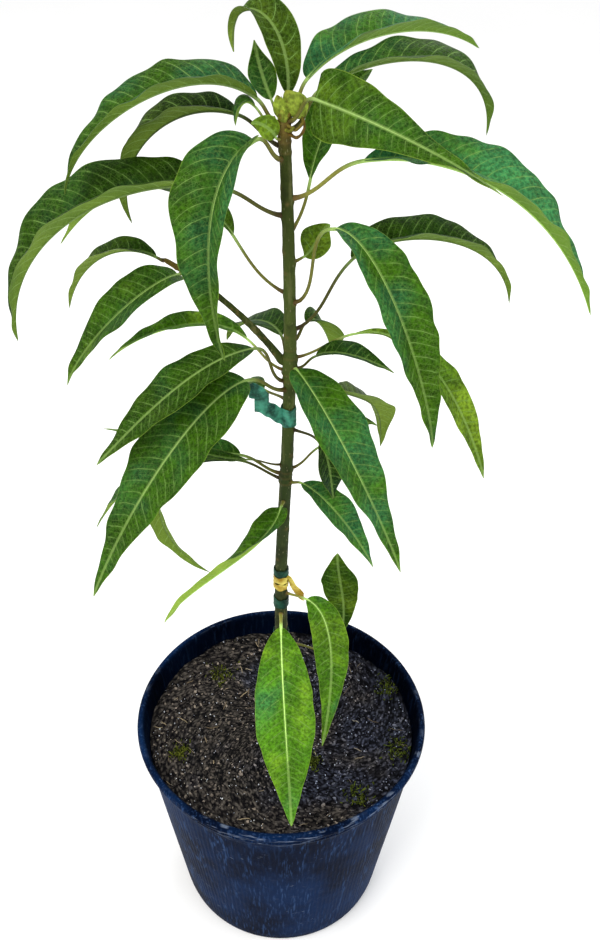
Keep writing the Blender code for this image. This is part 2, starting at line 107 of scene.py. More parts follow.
# One row a leaf, in mm and degrees, by the same rule as in the part. tone runs from a bluish green at 0 to
# a yellow green at 1, and light is its brightness, partly the leaf's own and partly painted light and shade.
# foot_1 is 1 mm narrower than in the part, and widest a little further along.
LeafSizes = namedtuple(
    "LeafSizes",
    "name joint way rise stalk lift lead tip_way reach high drop trail wide belly fold roll tone light"
    " twist turn",
    defaults=[0, 0],
)
LEAVES = [LeafSizes(*row) for row in (
    ("top_1",    799,  74,  80, 20,  82, 1.30, 150,  34, 842, 100, 0.95, 29, 0.42, 20, -70, 0.66, 0.45, 110),
    ("top_2",    806, 133,  50, 12,  55, 0.35, 120,  34, 846, -70, 0.35, 19, 0.42, 22, -25, 0.55, 0.66),
    ("top_3",    803, 180,  50, 20,  40, 0.34, 189, 140, 764,  79, 0.35, 48, 0.40, 26,   0, 0.36, 0.68),
    ("top_4",    788, 152,  27, 34,   8, 0.45, 168, 106, 727, 106, 0.47, 44, 0.45, 30,   0, 0.54, 0.28),
    ("top_5",    806,  44,  52, 26,  32, 0.31,  31, 158, 828,  32, 0.37, 46, 0.42, 28,  -2, 0.22, 1.05),
    ("top_6",    799,   2,  54, 30,  38, 0.38,   2, 132, 794,  92, 0.52, 48, 0.50, 20,   0, 0.30, 0.60),
    ("top_7",    805, 322,  42, 26,  -5, 0.30, 328, 152, 787,  24, 0.30, 42, 0.12,  4,  80, 0.60, 0.75, -98),
    ("top_8",    797, 187,  50, 22,  49, 0.70, 188,  29, 803,  80, 0.60, 20, 0.50, 20,   0, 0.60, 1.05),
    ("upper_1",  781, 225,  38, 29, -10, 0.36, 240,  74, 667, 111, 0.48, 55, 0.33, 34,  12, 0.46, 0.82),
    ("upper_2",  742, 185,  27, 45,  12, 0.38, 189, 185, 662,  92, 0.44, 60, 0.46, 34,  -4, 0.42, 0.55),
    ("upper_3",  684, 158,  44, 53,  55, 0.32, 153, 192, 682,  52, 0.55, 40, 0.45, 25,   0, 0.50, 1.00),
    ("upper_4",  754, 350,  32, 53,  12, 0.31, 346, 210, 694,  68, 0.47, 58, 0.50, 28,  16, 0.20, 1.40, -30),
    ("upper_5",  729,  60,  47, 37,  68, 0.40,  46,  89, 819, -20, 0.35, 40, 0.55, 20,   0, 0.55, 1.25),
    ("upper_6",  678, 322,  63, 72,  10, 0.22, 320, 134, 612,  80, 0.30, 45, 0.48, 26,   8, 0.42, 1.00),
    ("upper_7",  708,  20,  20,  7,  20, 0.30,  20,  36, 730, -10, 0.30, 24, 0.50, 20,  45, 0.85, 1.00),
    ("middle_1", 655,  12,  52, 64,  43, 0.26,  10, 172, 661,  80, 0.48, 42, 0.42, 30,   0, 0.45, 0.45),
    ("middle_2", 645,  40,  45, 15,  20, 0.35,  30,  45, 621,  80, 0.35, 36, 0.50, 20,   0, 0.50, 0.75),
    ("middle_3", 624, 340,  43, 19,  33, 0.35, 348,  84, 629,  25, 0.35, 26, 0.42, 25,   0, 0.45, 0.45),
    ("middle_4", 632,   6,  23, 42,  14, 0.32, 353, 159, 535,  72, 0.45, 28, 0.62, 20,   0, 0.95, 1.15, 45),
    ("middle_5", 605,  40, -25, 50, -38, 0.38,  40, 113, 500,  93, 0.50, 42, 0.45, 20,   0, 0.75, 0.35),
    ("middle_6", 624, 300,  40,  4,  -8, 0.20, 313, 129, 505,  58, 0.36, 53, 0.42, 15,  -8, 0.38, 1.15),
    ("middle_7", 621, 170,  42, 35,  40, 0.33, 175, 130, 623,  45, 0.35, 27, 0.45, 22,   0, 0.66, 1.60),
    ("middle_8", 613, 208,  55, 42,   6, 0.33, 208, 148, 585,  38, 0.30, 42, 0.45,  8,  -6, 0.48, 0.60),
    ("middle_9", 606, 220,  32, 42,   8, 0.20, 216, 172, 487,  64, 0.40, 60, 0.42,  8, -12, 0.48, 0.82),
    ("middle_10",632, 115,  50, 14,  20, 0.35, 125,  75, 612,  60, 0.40, 34, 0.45, 15,   0, 0.50, 0.50),
    ("middle_11",594,  75,   0, 20,   0, 0.35,  52,  96, 455,  65, 0.40, 36, 0.45, 20,   0, 0.50, 0.90),
    ("middle_12",593, 125, -12, 30,  -5, 0.30, 130, 104, 480,  60, 0.40, 36, 0.45, 20,   0, 0.55, 1.00),
    ("lower_1",  525, 175,  27, 35,   8, 0.29, 172, 161, 449,  63, 0.45, 46, 0.42, 20,   0, 0.52, 0.90),
    ("lower_2",  518, 150,   6, 38, -10, 0.67, 155,  71, 390, 155, 0.63, 38, 0.42, 20,   0, 0.58, 0.45),
    ("lower_3",  535, 198,  22, 30,  10, 0.30, 186, 135, 578, -10, 0.30, 18, 0.45, 20,   0, 0.55, 0.55),
    ("lower_4",  519, 320,  20, 12,   0, 0.30, 326,  88, 469,  55, 0.35, 32, 0.45, 20,   0, 0.42, 1.05),
    ("lower_5",  569, 335, -15, 22, -50, 0.30, 330,  47, 518,  75, 0.30, 30, 0.45, 20,   0, 0.34, 0.28),
    ("lower_6",  530,  10,  40, 28,  30, 0.35,  12,  78, 560,  40, 0.35, 28, 0.45, 20,   0, 0.50, 0.85),
    ("lower_7",  500, 255, -10,  6, -35, 0.30, 217, 117, 428,  55, 0.30, 36, 0.25, 20,   0, 0.62, 1.24, 100),
    ("foot_1",   373, 270,   0, 16, -12, 0.30, 274, 130, 239,  55, 0.30, 52, 0.47, 10,   0, 0.56, 1.95),
    ("foot_2",   396, 330,   5, 20,  -5, 0.26, 293,  92, 291,  60, 0.38, 32, 0.40, 15,   0, 0.52, 1.44, 0, -32),
    ("foot_3",   329,  10, -15, 45,  60, 0.35,  15,  51, 428, -95, 0.35, 34, 0.72, 15,   0, 0.74, 0.70),
    ("young_1",  794, 226,  30,  5,  60, 0.30, 207,  21, 806,  20, 0.30, 16, 0.45, 20, -65, 0.95, 0.95),
)]

# Leaves at the end of the side shoot. Here joint counts the shoot's steps back from its end.
SHOOT_LEAVES = [LeafSizes(*row) for row in (
    ("shoot_1",    0, 165,  20,  5,  22, 0.35, 168, 162, 655,  75, 0.45, 30, 0.45, 25,   0, 0.70, 0.55),
    ("shoot_2",    1, 250,  10,  6,  20, 0.40, 190, 156, 625,  65, 0.35, 42, 0.42, 20,  -8, 0.62, 0.80),
)]

# Tape wound round the stem: its wraps as pairs of low and high, and strips of its tag as rows of x, y, low
# and high. The first strip runs on into the top wrap.
TapeSizes = namedtuple("TapeSizes", "name wraps start slot tag")
TAPES = [
    TapeSizes("tape_top", [(573, 589)], 200, "tape_teal", [
        [(-20, -8.5, 590, 602), (-14, -9, 588, 601), (-9, -7, 583, 598)],
        [(-24, -9, 603, 614), (-19, -9.8, 602, 616), (-14, -9.5, 600, 612), (-9, -8, 594, 606)],
    ]),
    TapeSizes("tape_yellow", [(402, 408.2), (409.4, 416)], 350, "tape_yellow", [
        [(20, -4, 387, 397), (14, -5, 394, 406), (10, -4, 401, 413)],
    ]),
    TapeSizes("tape_green", [(380, 390), (417, 424)], 60, "tape_green", []),
    TapeSizes("tape_low", [(337, 348)], 60, "tape_green", []),
]
TAPE_WRAP = 330

# Lumps of loose matter on the mix: how many, the range of their lengths and flatness, how level they lie,
# the range and power of their brightness, how far they are lifted, and their material
LumpSizes = namedtuple("LumpSizes", "count lengths flatness level tones power lift group")
CHIPS = LumpSizes(1900, (0.7, 2.2), (0.2, 0.5), 0.6, (0, 1), 2.4, 0, 1)
CRUMBS = LumpSizes(3000, (0.5, 1.3), (0.4, 0.9), 0.2, (0, 1), 2.2, 0, 0)
GRAINS = LumpSizes(420, (0.3, 0.9), (0.6, 1.0), 0.2, (0.3, 1), 1, 0.8, 2)
MOSS = LumpSizes(110, (1.0, 2.6), (0.2, 0.4), 0.4, (0, 1), 1, 1.0, 4)
MOSS_PATCHES = (
    ((-62, 70), 7), ((108, 48), 6), ((112, -28), 7), ((72, -78), 6), ((30, -42), 4), ((-98, -30), 5),
)
STRAWS = 46
STRAW_LENGTHS = (5, 17)
STRAW_WIDTHS = (0.2, 0.55)

# Stage, in metres and watts
FLOOR_REACH = 9.0
LIGHTS = (
    ("key_light", (-1.0, -1.1, 2.4), 1.3, 38, (1.0, 0.98, 0.94)),
    ("fill_light", (1.6, -0.9, 1.6), 1.6, 12, (0.92, 0.97, 1.0)),
    ("back_light", (0.6, 1.8, 2.0), 1.4, 14, (1.0, 1.0, 1.0)),
)
LIGHT_AIM = (0.0, 0.0, 0.5)
CAMERA_PLACE = (0.0, -0.639, 1.008)
CAMERA_TILT = 53.11
CAMERA_LENS = 38.3
CAMERA_SENSOR = 36
CAMERA_SHIFT = 0.0202

# Parts of the bake map, as left, low, right and high
WHOLE = (0.0, 0.0, 1.0, 1.0)
UPPER_PLACE = (0.01, 0.01, 0.46, 0.99)
UNDER_PLACE = (0.48, 0.01, 0.93, 0.99)
RIB_PLACES = [(0.95, 0.03, 0.99, 0.97), (0.95, 0.005, 0.96, 0.015), (0.95, 0.985, 0.96, 0.995)]
BARK_PLACES = [(0.02, 0.02, 0.9, 0.98), (0.92, 0.02, 0.98, 0.08), (0.92, 0.12, 0.98, 0.18)]


def towards(degrees):
    """The level unit vector at a heading."""
    angle = np.radians(degrees)
    return np.stack([np.cos(angle), np.sin(angle), np.zeros_like(angle)], axis=-1)


def raised(heading, pitch):
    """The unit vector at a heading and a pitch above level."""
    rise = math.radians(pitch)
    return math.cos(rise) * towards(heading) + np.array([0.0, 0.0, math.sin(rise)])


def unit(vectors):
    return vectors / np.linalg.norm(vectors, axis=-1, keepdims=True)


def ease(start, end, value):
    """0 up to start and 1 from end on, with a soft turn at each."""
    share = np.clip((value - start) / (end - start), 0.0, 1.0)
    return share * share * (3 - 2 * share)


def bump(value, centre, reach):
    """1 at the centre, and less the further the value is from it."""
    return np.exp(-(((value - centre) / reach) ** 2))


def circle(count):
    return np.linspace(0, TURN, count, endpoint=False)


def turn_from(angle, heading):
    """How far an angle is from a heading, the short way round."""
    return np.angle(np.exp(1j * (angle - heading)))


def run_along(points):
    """The distance along a path, at each of its points."""
    return np.concatenate([[0], np.linalg.norm(np.diff(points, axis=0), axis=1).cumsum()])


def rings_round(side, other, count):
    """Unit vectors all round a path, from its two directions across."""
    angle = circle(count)[None, :, None]
    return np.cos(angle) * side[:, None, :] + np.sin(angle) * other[:, None, :]


def points_round(radius, angle, height):
    """Points at a radius, an angle and a height."""
    return np.stack(np.broadcast_arrays(radius * np.cos(angle), radius * np.sin(angle), height), axis=-1)


def ways_along(points):
    """The direction of a path at each of its points."""
    return unit(np.vstack([points[1:], points[-1:]]) - np.vstack([points[:1], points[:-1]]))


def bezier(points, shares):
    a, b, c, d = points
    share = np.asarray(shares, float)[..., None]
    rest = 1 - share
    return rest**3 * a + 3 * rest**2 * share * b + 3 * rest * share**2 * c + share**3 * d


def smooth_path(points, steps):
    """A finer path through the points, by Catmull and Rom's rule."""
    points = np.asarray(points, float)
    padded = np.vstack([2 * points[0] - points[1], points, 2 * points[-1] - points[-2]])
    result = []
    for before, start, end, after in zip(padded, padded[1:], padded[2:], padded[3:]):
        for share in np.arange(steps) / steps:
            result.append(0.5 * (
                2 * start + (end - before) * share
                + (2 * before - 5 * start + 4 * end - after) * share**2
                + (3 * start - before - 3 * end + after) * share**3
            ))
    result.append(points[-1])
    return np.array(result)


def stem_centre(height):
    """The stem leans out and back in one slow bow."""
    height = np.asarray(height, float)
    share = np.clip((height - BOW_FROM) / (BOW_TO - BOW_FROM), 0.0, 1.0)
    lean = BOW_WIDTH * np.clip(np.sin(math.pi * share), 0, 1) ** 1.2
    return np.stack([lean, np.zeros_like(lean), height], axis=-1)


def stem_radius(height):
    share = (height - STEM_FOOT) / (STEM_TOP - STEM_FOOT)
    radius = STEM_FOOT_RADIUS + share * (STEM_TOP_RADIUS - STEM_FOOT_RADIUS)
    radius += FLARE_RADIUS * np.exp(-(height - STEM_FOOT) / FLARE_HEIGHT)
    return radius + GRAFT_SWELL * bump(height, GRAFT_HEIGHT, GRAFT_REACH)


def half_width(share, belly):
    """The outline of a mango leaf from base to tip, as a share of its widest, which is at the belly."""
    spread = share ** (math.log(0.5) / math.log(belly))
    body = np.clip(np.sin(math.pi * spread), 0.0, 1.0) ** 0.72
    return body * (1 - 0.45 * ease(belly, 1.0, share))


def closed(numbers):
    """A grid of corners whose last column is its first again."""
    return np.concatenate([numbers, numbers[:, :1]], axis=1)


def cells_of(table):
    """The four corners of each cell of a table, in order round it."""
    return np.stack([table[:-1, :-1], table[1:, :-1], table[1:, 1:], table[:-1, 1:]], axis=-1)


def new_object(name, data):
    obj = bpy.data.objects.new(name, data)
    bpy.context.scene.collection.objects.link(obj)
    return obj


class Shape:
    """A mesh in the making: its corners with their named values, its faces and its bake map."""

    def __init__(self):
        self.count = 0
        self.points = []
        self.values = {}
        self.faces = []
        self.groups = []
        self.maps = []

    def corners(self, points, **values):
        """Adds corners, in mm, and returns their numbers in the same layout."""
        layout = points.shape[:-1]
        self.points.append(points.reshape(-1, 3) * MM)
        for name, value in values.items():
            spread = np.broadcast_to(np.asarray(value, float), layout).reshape(-1)
            self.values.setdefault(name, []).append(spread)
        numbers = np.arange(self.count, self.count + np.prod(layout)).reshape(layout)
        self.count += numbers.size
        return numbers

    def two_faces(self, middle, offset, inner, **values):
        """Corners of two faces to either side of the middle. Those outside inner are shared by both."""
        upper = self.corners(middle + offset, **values)
        inner_values = {name: np.broadcast_to(value, upper.shape)[inner] for name, value in values.items()}
        lower = upper.copy()
        lower[inner] = self.corners((middle - offset)[inner], **inner_values)
        return upper, lower

    def add_faces(self, faces, places, group):
        faces = faces.reshape(-1, faces.shape[-1])
        self.faces.append(faces)
        self.maps.append(places.reshape(-1, 2))
        self.groups.append(np.full(len(faces), group))

    def grid(self, numbers, group=0, place=WHOLE):
        """Joins a grid of corners with faces. place is its part of the bake map."""
        rows, columns = numbers.shape
        left, low, right, high = place
        u, v = np.meshgrid(np.linspace(left, right, columns), np.linspace(low, high, rows))
        self.add_faces(cells_of(numbers), np.stack([cells_of(u), cells_of(v)], axis=-1), group)

    def fan(self, ring, tip, group=0, place=WHOLE):
        """Closes a ring of corners with a fan of triangles round one corner."""
        left, low, right, high = place
        angles = np.linspace(0, TURN, len(ring) + 1)
        places = []
        for start, end, wave in ((left, right, np.cos(angles)), (low, high, np.sin(angles))):
            middle = (start + end) / 2
            line = middle + (end - start) / 2 * wave
            places.append(np.stack([line[:-1], line[1:], np.full(len(ring), middle)], axis=-1))
        faces = np.stack([ring, np.roll(ring, -1), np.full_like(ring, tip)], axis=-1)
        self.add_faces(faces, np.stack(places, axis=-1), group)

    def tube(self, numbers, ends, group=0, places=3 * (WHOLE,)):
        """Faces all round a tube of corners, and a fan round the corner at each of its ends."""
        self.grid(closed(numbers), group, places[0])
        self.fan(numbers[0], ends[0], group, places[1])
        self.fan(numbers[-1], ends[1], group, places[2])

    def piece(self, name, materials, smooth_below=50, bake_map=True):
        """The shape as an object, smooth over edges below an angle in degrees."""
        mesh = bpy.data.meshes.new(name)
        faces = [face for block in self.faces for face in block.tolist()]
        mesh.from_pydata(np.concatenate(self.points).tolist(), [], faces)
        mesh.polygons.foreach_set("material_index", np.concatenate(self.groups).astype(np.int32))
        if bake_map:
            layer = mesh.uv_layers.new(name="OFBake")
            layer.data.foreach_set("uv", np.concatenate(self.maps).astype(np.float32).ravel())
        for key, parts in self.values.items():
            attribute = mesh.attributes.new(key, "FLOAT", "POINT")
            attribute.data.foreach_set("value", np.concatenate(parts).astype(np.float32))
        bm = bmesh.new()
        bm.from_mesh(mesh)
        bmesh.ops.recalc_face_normals(bm, faces=bm.faces)
        bm.to_mesh(mesh)
        bm.free()
        mesh.shade_smooth()
        mesh.set_sharp_from_angle(angle=math.radians(smooth_below))
        for material in materials:
            mesh.materials.append(material)
        return new_object(name, mesh)


def dress(piece, node):
    """The piece stands for one solid of the part and moves with the whole plant."""
    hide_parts(node)
    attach(piece, "root")


def colour(red, green, blue):
    """A colour on the 0 to 255 scale of a screen, as the light that it stands for."""
    return (*[(part / 255) ** 2.2 for part in (red, green, blue)], 1.0)


class Shader:
    """A material whose patterns are made of nodes."""

    def __init__(self, name, roughness, specular=0.5):
        self.material = bpy.data.materials.new(name)
        self.material.use_nodes = True
        self.tree = self.material.node_tree
        self.surface = self.tree.nodes["Principled BSDF"]
        self.surface.inputs["Roughness"].default_value = roughness
        self.surface.inputs["Specular IOR Level"].default_value = specular
        self.place = self.node("TexCoord").outputs["Object"]

    def node(self, kind, **inputs):
        """A new node, with values or links for some of its inputs."""
        node = self.tree.nodes.new("ShaderNode" + kind)
        for name, value in inputs.items():
            self.feed(node.inputs[name], value)
        return node

    def feed(self, socket, value):
        if isinstance(value, bpy.types.NodeSocket):
            self.tree.links.new(value, socket)
        else:
            socket.default_value = value

    def value(self, name):
        node = self.node("Attribute")
        node.attribute_name = name
        return node.outputs["Fac"]

    def math(self, operation, *values):
        node = self.node("Math")
        node.operation = operation
        for socket, value in zip(node.inputs, values):
            self.feed(socket, value)
        return node.outputs[0]

    def product(self, *values):
        result = values[0]
        for value in values[1:]:
            result = self.math("MULTIPLY", result, value)
        return result

    def smooth(self, value, start, end):
        """0 at start and 1 at end, with a soft turn at each."""
        node = self.node("MapRange", Value=value, **{"From Min": start, "From Max": end})
        node.interpolation_type = "SMOOTHSTEP"
        return node.outputs["Result"]

    def span(self, value, low, high):
        """A value from 0 to 1 as one from low to high."""
        return self.math("MULTIPLY_ADD", value, high - low, low)

    def mix(self, share, first, second):
        node = self.node("Mix")
        node.data_type = "RGBA"
        for number, value in ((0, share), (6, first), (7, second)):
            self.feed(node.inputs[number], value)
        return node.outputs[2]

    def tinge(self, tint, other, *shares):
        """The tint, drawn towards another one by the product of some shares."""
        return self.mix(self.product(*shares), tint, other)

    def lit(self, tint, brightness):
        return self.node("HueSaturation", Value=brightness, Color=tint).outputs["Color"]

    def stretched(self, x, y, z):
        node = self.node("VectorMath")
        node.operation = "MULTIPLY"
        self.feed(node.inputs[0], self.place)
        node.inputs[1].default_value = (x, y, z)
        return node.outputs[0]

    def noise(self, scale, detail=3.0, place=None, distortion=0.0):
        inputs = {"Vector": place or self.place, "Scale": scale, "Detail": detail, "Distortion": distortion}
        return self.node("TexNoise", **inputs).outputs["Fac"]

    def clouds(self, scale, detail, start, end):
        """Noise that is 0 below start and 1 above end."""
        return self.smooth(self.noise(scale, detail), start, end)

    def cells(self, scale, place=None, feature="DISTANCE_TO_EDGE"):
        node = self.node("TexVoronoi")
        node.feature = feature
        self.feed(node.inputs["Vector"], place or self.place)
        node.inputs["Scale"].default_value = scale
        return node.outputs["Distance"]

    def paint(self, tint):
        self.feed(self.surface.inputs["Base Color"], tint)

    def roughen(self, value, low, high):
        self.feed(self.surface.inputs["Roughness"], self.span(value, low, high))

    def relief(self, height, depth, strength=1.0):
        node = self.node("Bump", Strength=strength, Distance=depth, Height=height)
        self.tree.links.new(node.outputs["Normal"], self.surface.inputs["Normal"])


# Leaf colours
BLUE_GREEN = colour(42, 88, 52)
MID_GREEN = colour(50, 82, 18)
YELLOW_GREEN = colour(94, 118, 32)
UNDER_GREEN = colour(92, 126, 46)
UNDER_YELLOW = colour(136, 162, 66)
VEIN_GREEN = colour(122, 158, 80)
RIB_GREEN = colour(150, 182, 100)
STALK_GREEN = colour(108, 108, 50)
STALK_FOOT = colour(84, 66, 38)

# Sizes of the leaf's patterns, as repeats in a metre
NET_SCALE = 460
GRAIN_SCALE = 420
WANDER_SCALE = 110


def from_nearest_vein(look, sway):
    """How far a spot is from the nearest side vein: 0 on one and 0.5 midway, with an uneven course."""
    wander = look.math("ADD", look.value("vein"), look.span(look.noise(WANDER_SCALE, 3), -sway, sway))
    return look.math("PINGPONG", wander, 0.5)


def leaf_upper_material():
    """Deep green with thin pale side veins that curve towards the tip, a pale band of painted light beside each
    of them, and a fine net between them.
    """
    look = Shader("leaf_upper", 0.5, 0.03)
    clouds = look.clouds(15, 2, 0.3, 0.7)
    patches = look.clouds(60, 4, 0.3, 0.7)
    grain = look.clouds(GRAIN_SCALE, 4, 0.3, 0.7)
    tone = look.math("ADD", look.value("tone"), look.span(clouds, -0.34, 0.12))
    tone = look.math("ADD", tone, look.span(patches, -0.06, 0.06))
    green = look.mix(look.smooth(tone, 0.0, 0.45), BLUE_GREEN, MID_GREEN)
    green = look.mix(look.smooth(tone, 0.45, 1.0), green, YELLOW_GREEN)
    # The leaf's light value is partly its own brightness and partly painted light and shade.
    light = look.product(look.value("light"), look.span(clouds, 1.12, 0.88))
    light = look.product(light, look.span(patches, 0.72, 1.28), look.span(grain, 0.58, 1.42))
    green = look.lit(green, light)
    from_vein = from_nearest_vein(look, 0.1)
    worn = look.span(look.clouds(150, 3, 0.35, 0.62), 0.35, 1.1)
    fade = look.product(look.smooth(look.value("edge"), 0.3, 6.0), worn)
    veins = look.product(look.smooth(from_vein, 0.055, 0.012), fade)
    net = look.cells(NET_SCALE)
    # A pale band beside each side vein: painted light that goes with the quilted relief.
    green = look.tinge(green, VEIN_GREEN, look.smooth(from_vein, 0.24, 0.05), fade, 0.07)
    green = look.tinge(green, VEIN_GREEN, look.smooth(net, 0.09, 0.02), worn, 0.16)
    green = look.tinge(green, VEIN_GREEN, look.smooth(from_vein, 0.46, 0.49), fade, 0.16)
    green = look.tinge(green, VEIN_GREEN, veins, 0.5)
    green = look.tinge(green, RIB_GREEN, look.smooth(look.value("out"), 1.6, 0.6), 0.35)
    look.paint(look.tinge(green, UNDER_YELLOW, look.smooth(look.value("edge"), 0.7, 0.2), 0.35))
    look.roughen(look.noise(90, 3), 0.32, 0.55)
    height = look.math("MULTIPLY_ADD", veins, -0.6, look.product(net, 0.9))
    look.relief(look.math("MULTIPLY_ADD", grain, 0.4, height), 0.0006, 0.7)
    return look.material


def leaf_under_material():
    """Paler and duller than the upper face, with raised veins."""
    look = Shader("leaf_under", 0.6, 0.03)
    patches = look.noise(34, 4)
    grain = look.noise(GRAIN_SCALE, 4)
    tone = look.math("ADD", look.value("tone"), look.span(patches, -0.4, 0.4))
    green = look.mix(look.smooth(tone, 0.0, 1.0), UNDER_GREEN, UNDER_YELLOW)
    # light, partly painted light and shade, also sets the underside's brightness.
    light = look.span(look.value("light"), 0.5, 1.0)
    green = look.lit(green, look.product(light, look.span(patches, 0.8, 1.2), look.span(grain, 0.7, 1.3)))
    fade = look.smooth(look.value("edge"), 0.3, 5.0)
    veins = look.product(look.smooth(from_nearest_vein(look, 0.08), 0.08, 0.015), fade)
    net = look.smooth(look.cells(NET_SCALE), 0.10, 0.02)
    green = look.tinge(green, RIB_GREEN, net, 0.16)
    look.paint(look.tinge(green, RIB_GREEN, veins, 0.45))
    look.roughen(patches, 0.52, 0.68)
    height = look.math("MULTIPLY_ADD", veins, 0.9, look.product(net, 0.3))
    look.relief(look.math("MULTIPLY_ADD", grain, 0.25, height), 0.0006, 0.6)
    return look.material


def leaf_rib_material():
    """The stalk and the midrib that it runs into: brownish at its foot, pale along the blade."""
    look = Shader("leaf_rib", 0.5, 0.15)
    streaks = look.noise(GRAIN_SCALE, 3)
    along = look.value("along")
    green = look.mix(look.smooth(along, -1.0, -0.8), STALK_FOOT, STALK_GREEN)
    green = look.mix(look.smooth(along, -0.35, 0.08), green, RIB_GREEN)
    green = look.tinge(green, YELLOW_GREEN, look.smooth(along, 0.6, 1.0), 0.45)
    # light, partly painted light and shade, also sets the stalk's brightness.
    look.paint(look.lit(green, look.product(look.value("light"), look.span(streaks, 0.65, 1.35))))
    look.relief(streaks, 0.0003, 0.5)
    return look.material


def leaf_line(sizes, joint):
    """The leaf's centre line in fine steps, in mm, with the side and the upward direction along it."""
    start_way = towards(sizes.way)
    stalk_way = raised(sizes.way, sizes.rise)
    base = joint + sizes.stalk * stalk_way
    tip = towards(sizes.tip_way) * sizes.reach
    tip[2] = sizes.high
    chord = tip - base
    chord_heading = math.degrees(math.atan2(chord[1], chord[0]))
    span = np.linalg.norm(chord)
    lift_way = raised(sizes.way, sizes.lift)
    drop_way = raised(chord_heading + sizes.turn, -sizes.drop)
    pull = 0.4 * sizes.stalk
    stalk = [joint, joint + pull * unit(start_way + stalk_way), base - pull * lift_way, base]
    blade = [base, base + sizes.lead * span * lift_way, tip - sizes.trail * span * drop_way, tip]
    rough = bezier(blade, np.linspace(0, 1, 80))
    length = np.linalg.norm(np.diff(rough, axis=0), axis=1).sum()
    steps = max(round(length / GRID_SPACING), 24)
    stalk_centres = bezier(stalk, np.arange(STALK_STEPS) / STALK_STEPS)
    centres = np.concatenate([stalk_centres, bezier(blade, np.arange(steps + 1) / steps)])
    along = ways_along(centres)
    left = unit(np.cross([0.0, 0.0, 1.0], towards(chord_heading)))
    side = unit(left - (along @ left)[:, None] * along)
    up = np.cross(along, side)
    number = np.arange(len(centres))
    share = np.clip((number - STALK_STEPS) / steps, 0, 1)
    stalk_share = np.clip(number / STALK_STEPS, 0, 1)
    turned = np.radians(sizes.roll + sizes.twist * share) * stalk_share
    cosine = np.cos(turned)[:, None]
    sine = np.sin(turned)[:, None]
    run = run_along(centres)
    return {
        "centre": centres,
        "side": cosine * side + sine * up,
        "up": cosine * up - sine * side,
        "share": share,
        "stalk_share": stalk_share,
        "run": run - run[STALK_STEPS],
        "length": length,
    }


def ripple(run, wave_length, random):
    """A gentle wave along the blade that never quite repeats."""
    phases = random.uniform(0, TURN, 3)
    slow = np.sin(TURN * run / wave_length + phases[0])
    quick = 0.55 * np.sin(TURN * run / (0.56 * wave_length) + phases[1])
    drift = 0.3 * np.sin(TURN * run / (2.3 * wave_length) + phases[2])
    return slow * (1 + drift) + quick


def ripples(across, run, wave_length, random):
    """A ripple of its own on each side of the blade."""
    left, right = (ripple(run, wave_length, random) for _ in range(2))
    return np.where(across > 0, left, right)


def add_blade(shape, sizes, line, random):
    """The two faces of a folded, waved and quilted blade, which meet at its margin."""
    rows = slice(STALK_STEPS, None)
    centre, side, up = (line[key][rows][:, None, :] for key in ("centre", "side", "up"))
    share, run = (line[key][rows][:, None] for key in ("share", "run"))
    columns = 2 * max(round(sizes.wide / 2 / GRID_SPACING), 5) + 1
    across = np.linspace(1, -1, columns)[None, :]
    reach = abs(across)
    size = sizes.wide / 50
    ends = ease(0, 0.14, share) * (1 - ease(0.9, 1, share))
    wave_length = random.uniform(34, 48) * (0.5 + 0.5 * size)
    wave = ripples(across, run, wave_length, random)
    scallop = 1 + SCALLOP * ends * ripples(across, run, 0.7 * wave_length, random)
    half = np.maximum(half_width(share, sizes.belly) * sizes.wide / 2, 0.45) * scallop
    fold = math.radians(sizes.fold)
    out = across * half
    distance = abs(out)
    spacing = VEIN_SPACING + VEIN_SPREAD * line["length"]
    offset = np.where(across > 0, 0.0, 0.5) * np.minimum(distance / 1.5, 1)
    vein = (run - VEIN_LEAN * distance - VEIN_CURVE * distance**2) / spacing + offset + 20
    quilt = 0.5 - 0.5 * np.cos(TURN * vein)
    rise = half * math.sin(fold) * (reach * (1 + CROWNING) - CROWNING * reach**2)
    rise = rise + WAVE_HEIGHT * size * ends * reach**2.2 * wave
    rise = rise + QUILT_HEIGHT * quilt * ends * np.minimum(reach * 3, 1) * (1 - reach**5)
    middle = centre + side * (out * math.cos(fold))[..., None] + up * rise[..., None]
    thick = BLADE_THICKNESS / 2 * np.sqrt(1 - reach**6)
    thick = (thick * np.minimum(1, 40 * share) * np.minimum(1, 40 * (1 - share)))[..., None]
    upper, lower = shape.two_faces(
        middle, up * thick, (slice(1, -1), slice(1, -1)),
        vein=vein, out=distance, edge=(1 - reach) * half, along=share, tone=sizes.tone, light=sizes.light,
    )
    shape.grid(upper, 0, UPPER_PLACE)
    shape.grid(lower, 1, UNDER_PLACE)


def add_rib(shape, sizes, line):
    """The stalk from its swollen foot at the joint, and the midrib under the blade."""
    share = line["share"]
    stalk_share = line["stalk_share"]
    girth = np.clip((sizes.wide / 46) ** 0.5, 0.6, 1.1)
    stalk = STALK_RADIUS + (FOOT_RADIUS - STALK_RADIUS) * np.exp(-stalk_share * max(sizes.stalk, 8) / 3.5)
    rib = RIB_RADIUS * (1 - share) ** 0.85 + 0.2
    settle = ease(0, 0.06, share)
    radius = girth * (stalk * (1 - settle) + rib * settle)
    centre = line["centre"] - line["up"] * (0.45 * radius * settle)[:, None]
    centre[0] -= towards(sizes.way) * 1.2
    ring = rings_round(line["side"], line["up"], RIB_SIDES)
    last = len(share) - 1
    points = (centre[:, None, :] + ring * radius[:, None, None])[:last]
    along = np.where(share > 0, share, stalk_share - 1)[:last, None]
    values = dict(vein=0, out=0, edge=9, tone=sizes.tone, light=sizes.light)
    numbers = shape.corners(points, along=along, **values)
    ends = shape.corners(centre[[0, last - 1]], along=along[[0, -1], 0], **values)
    shape.tube(numbers, ends, 2, RIB_PLACES)


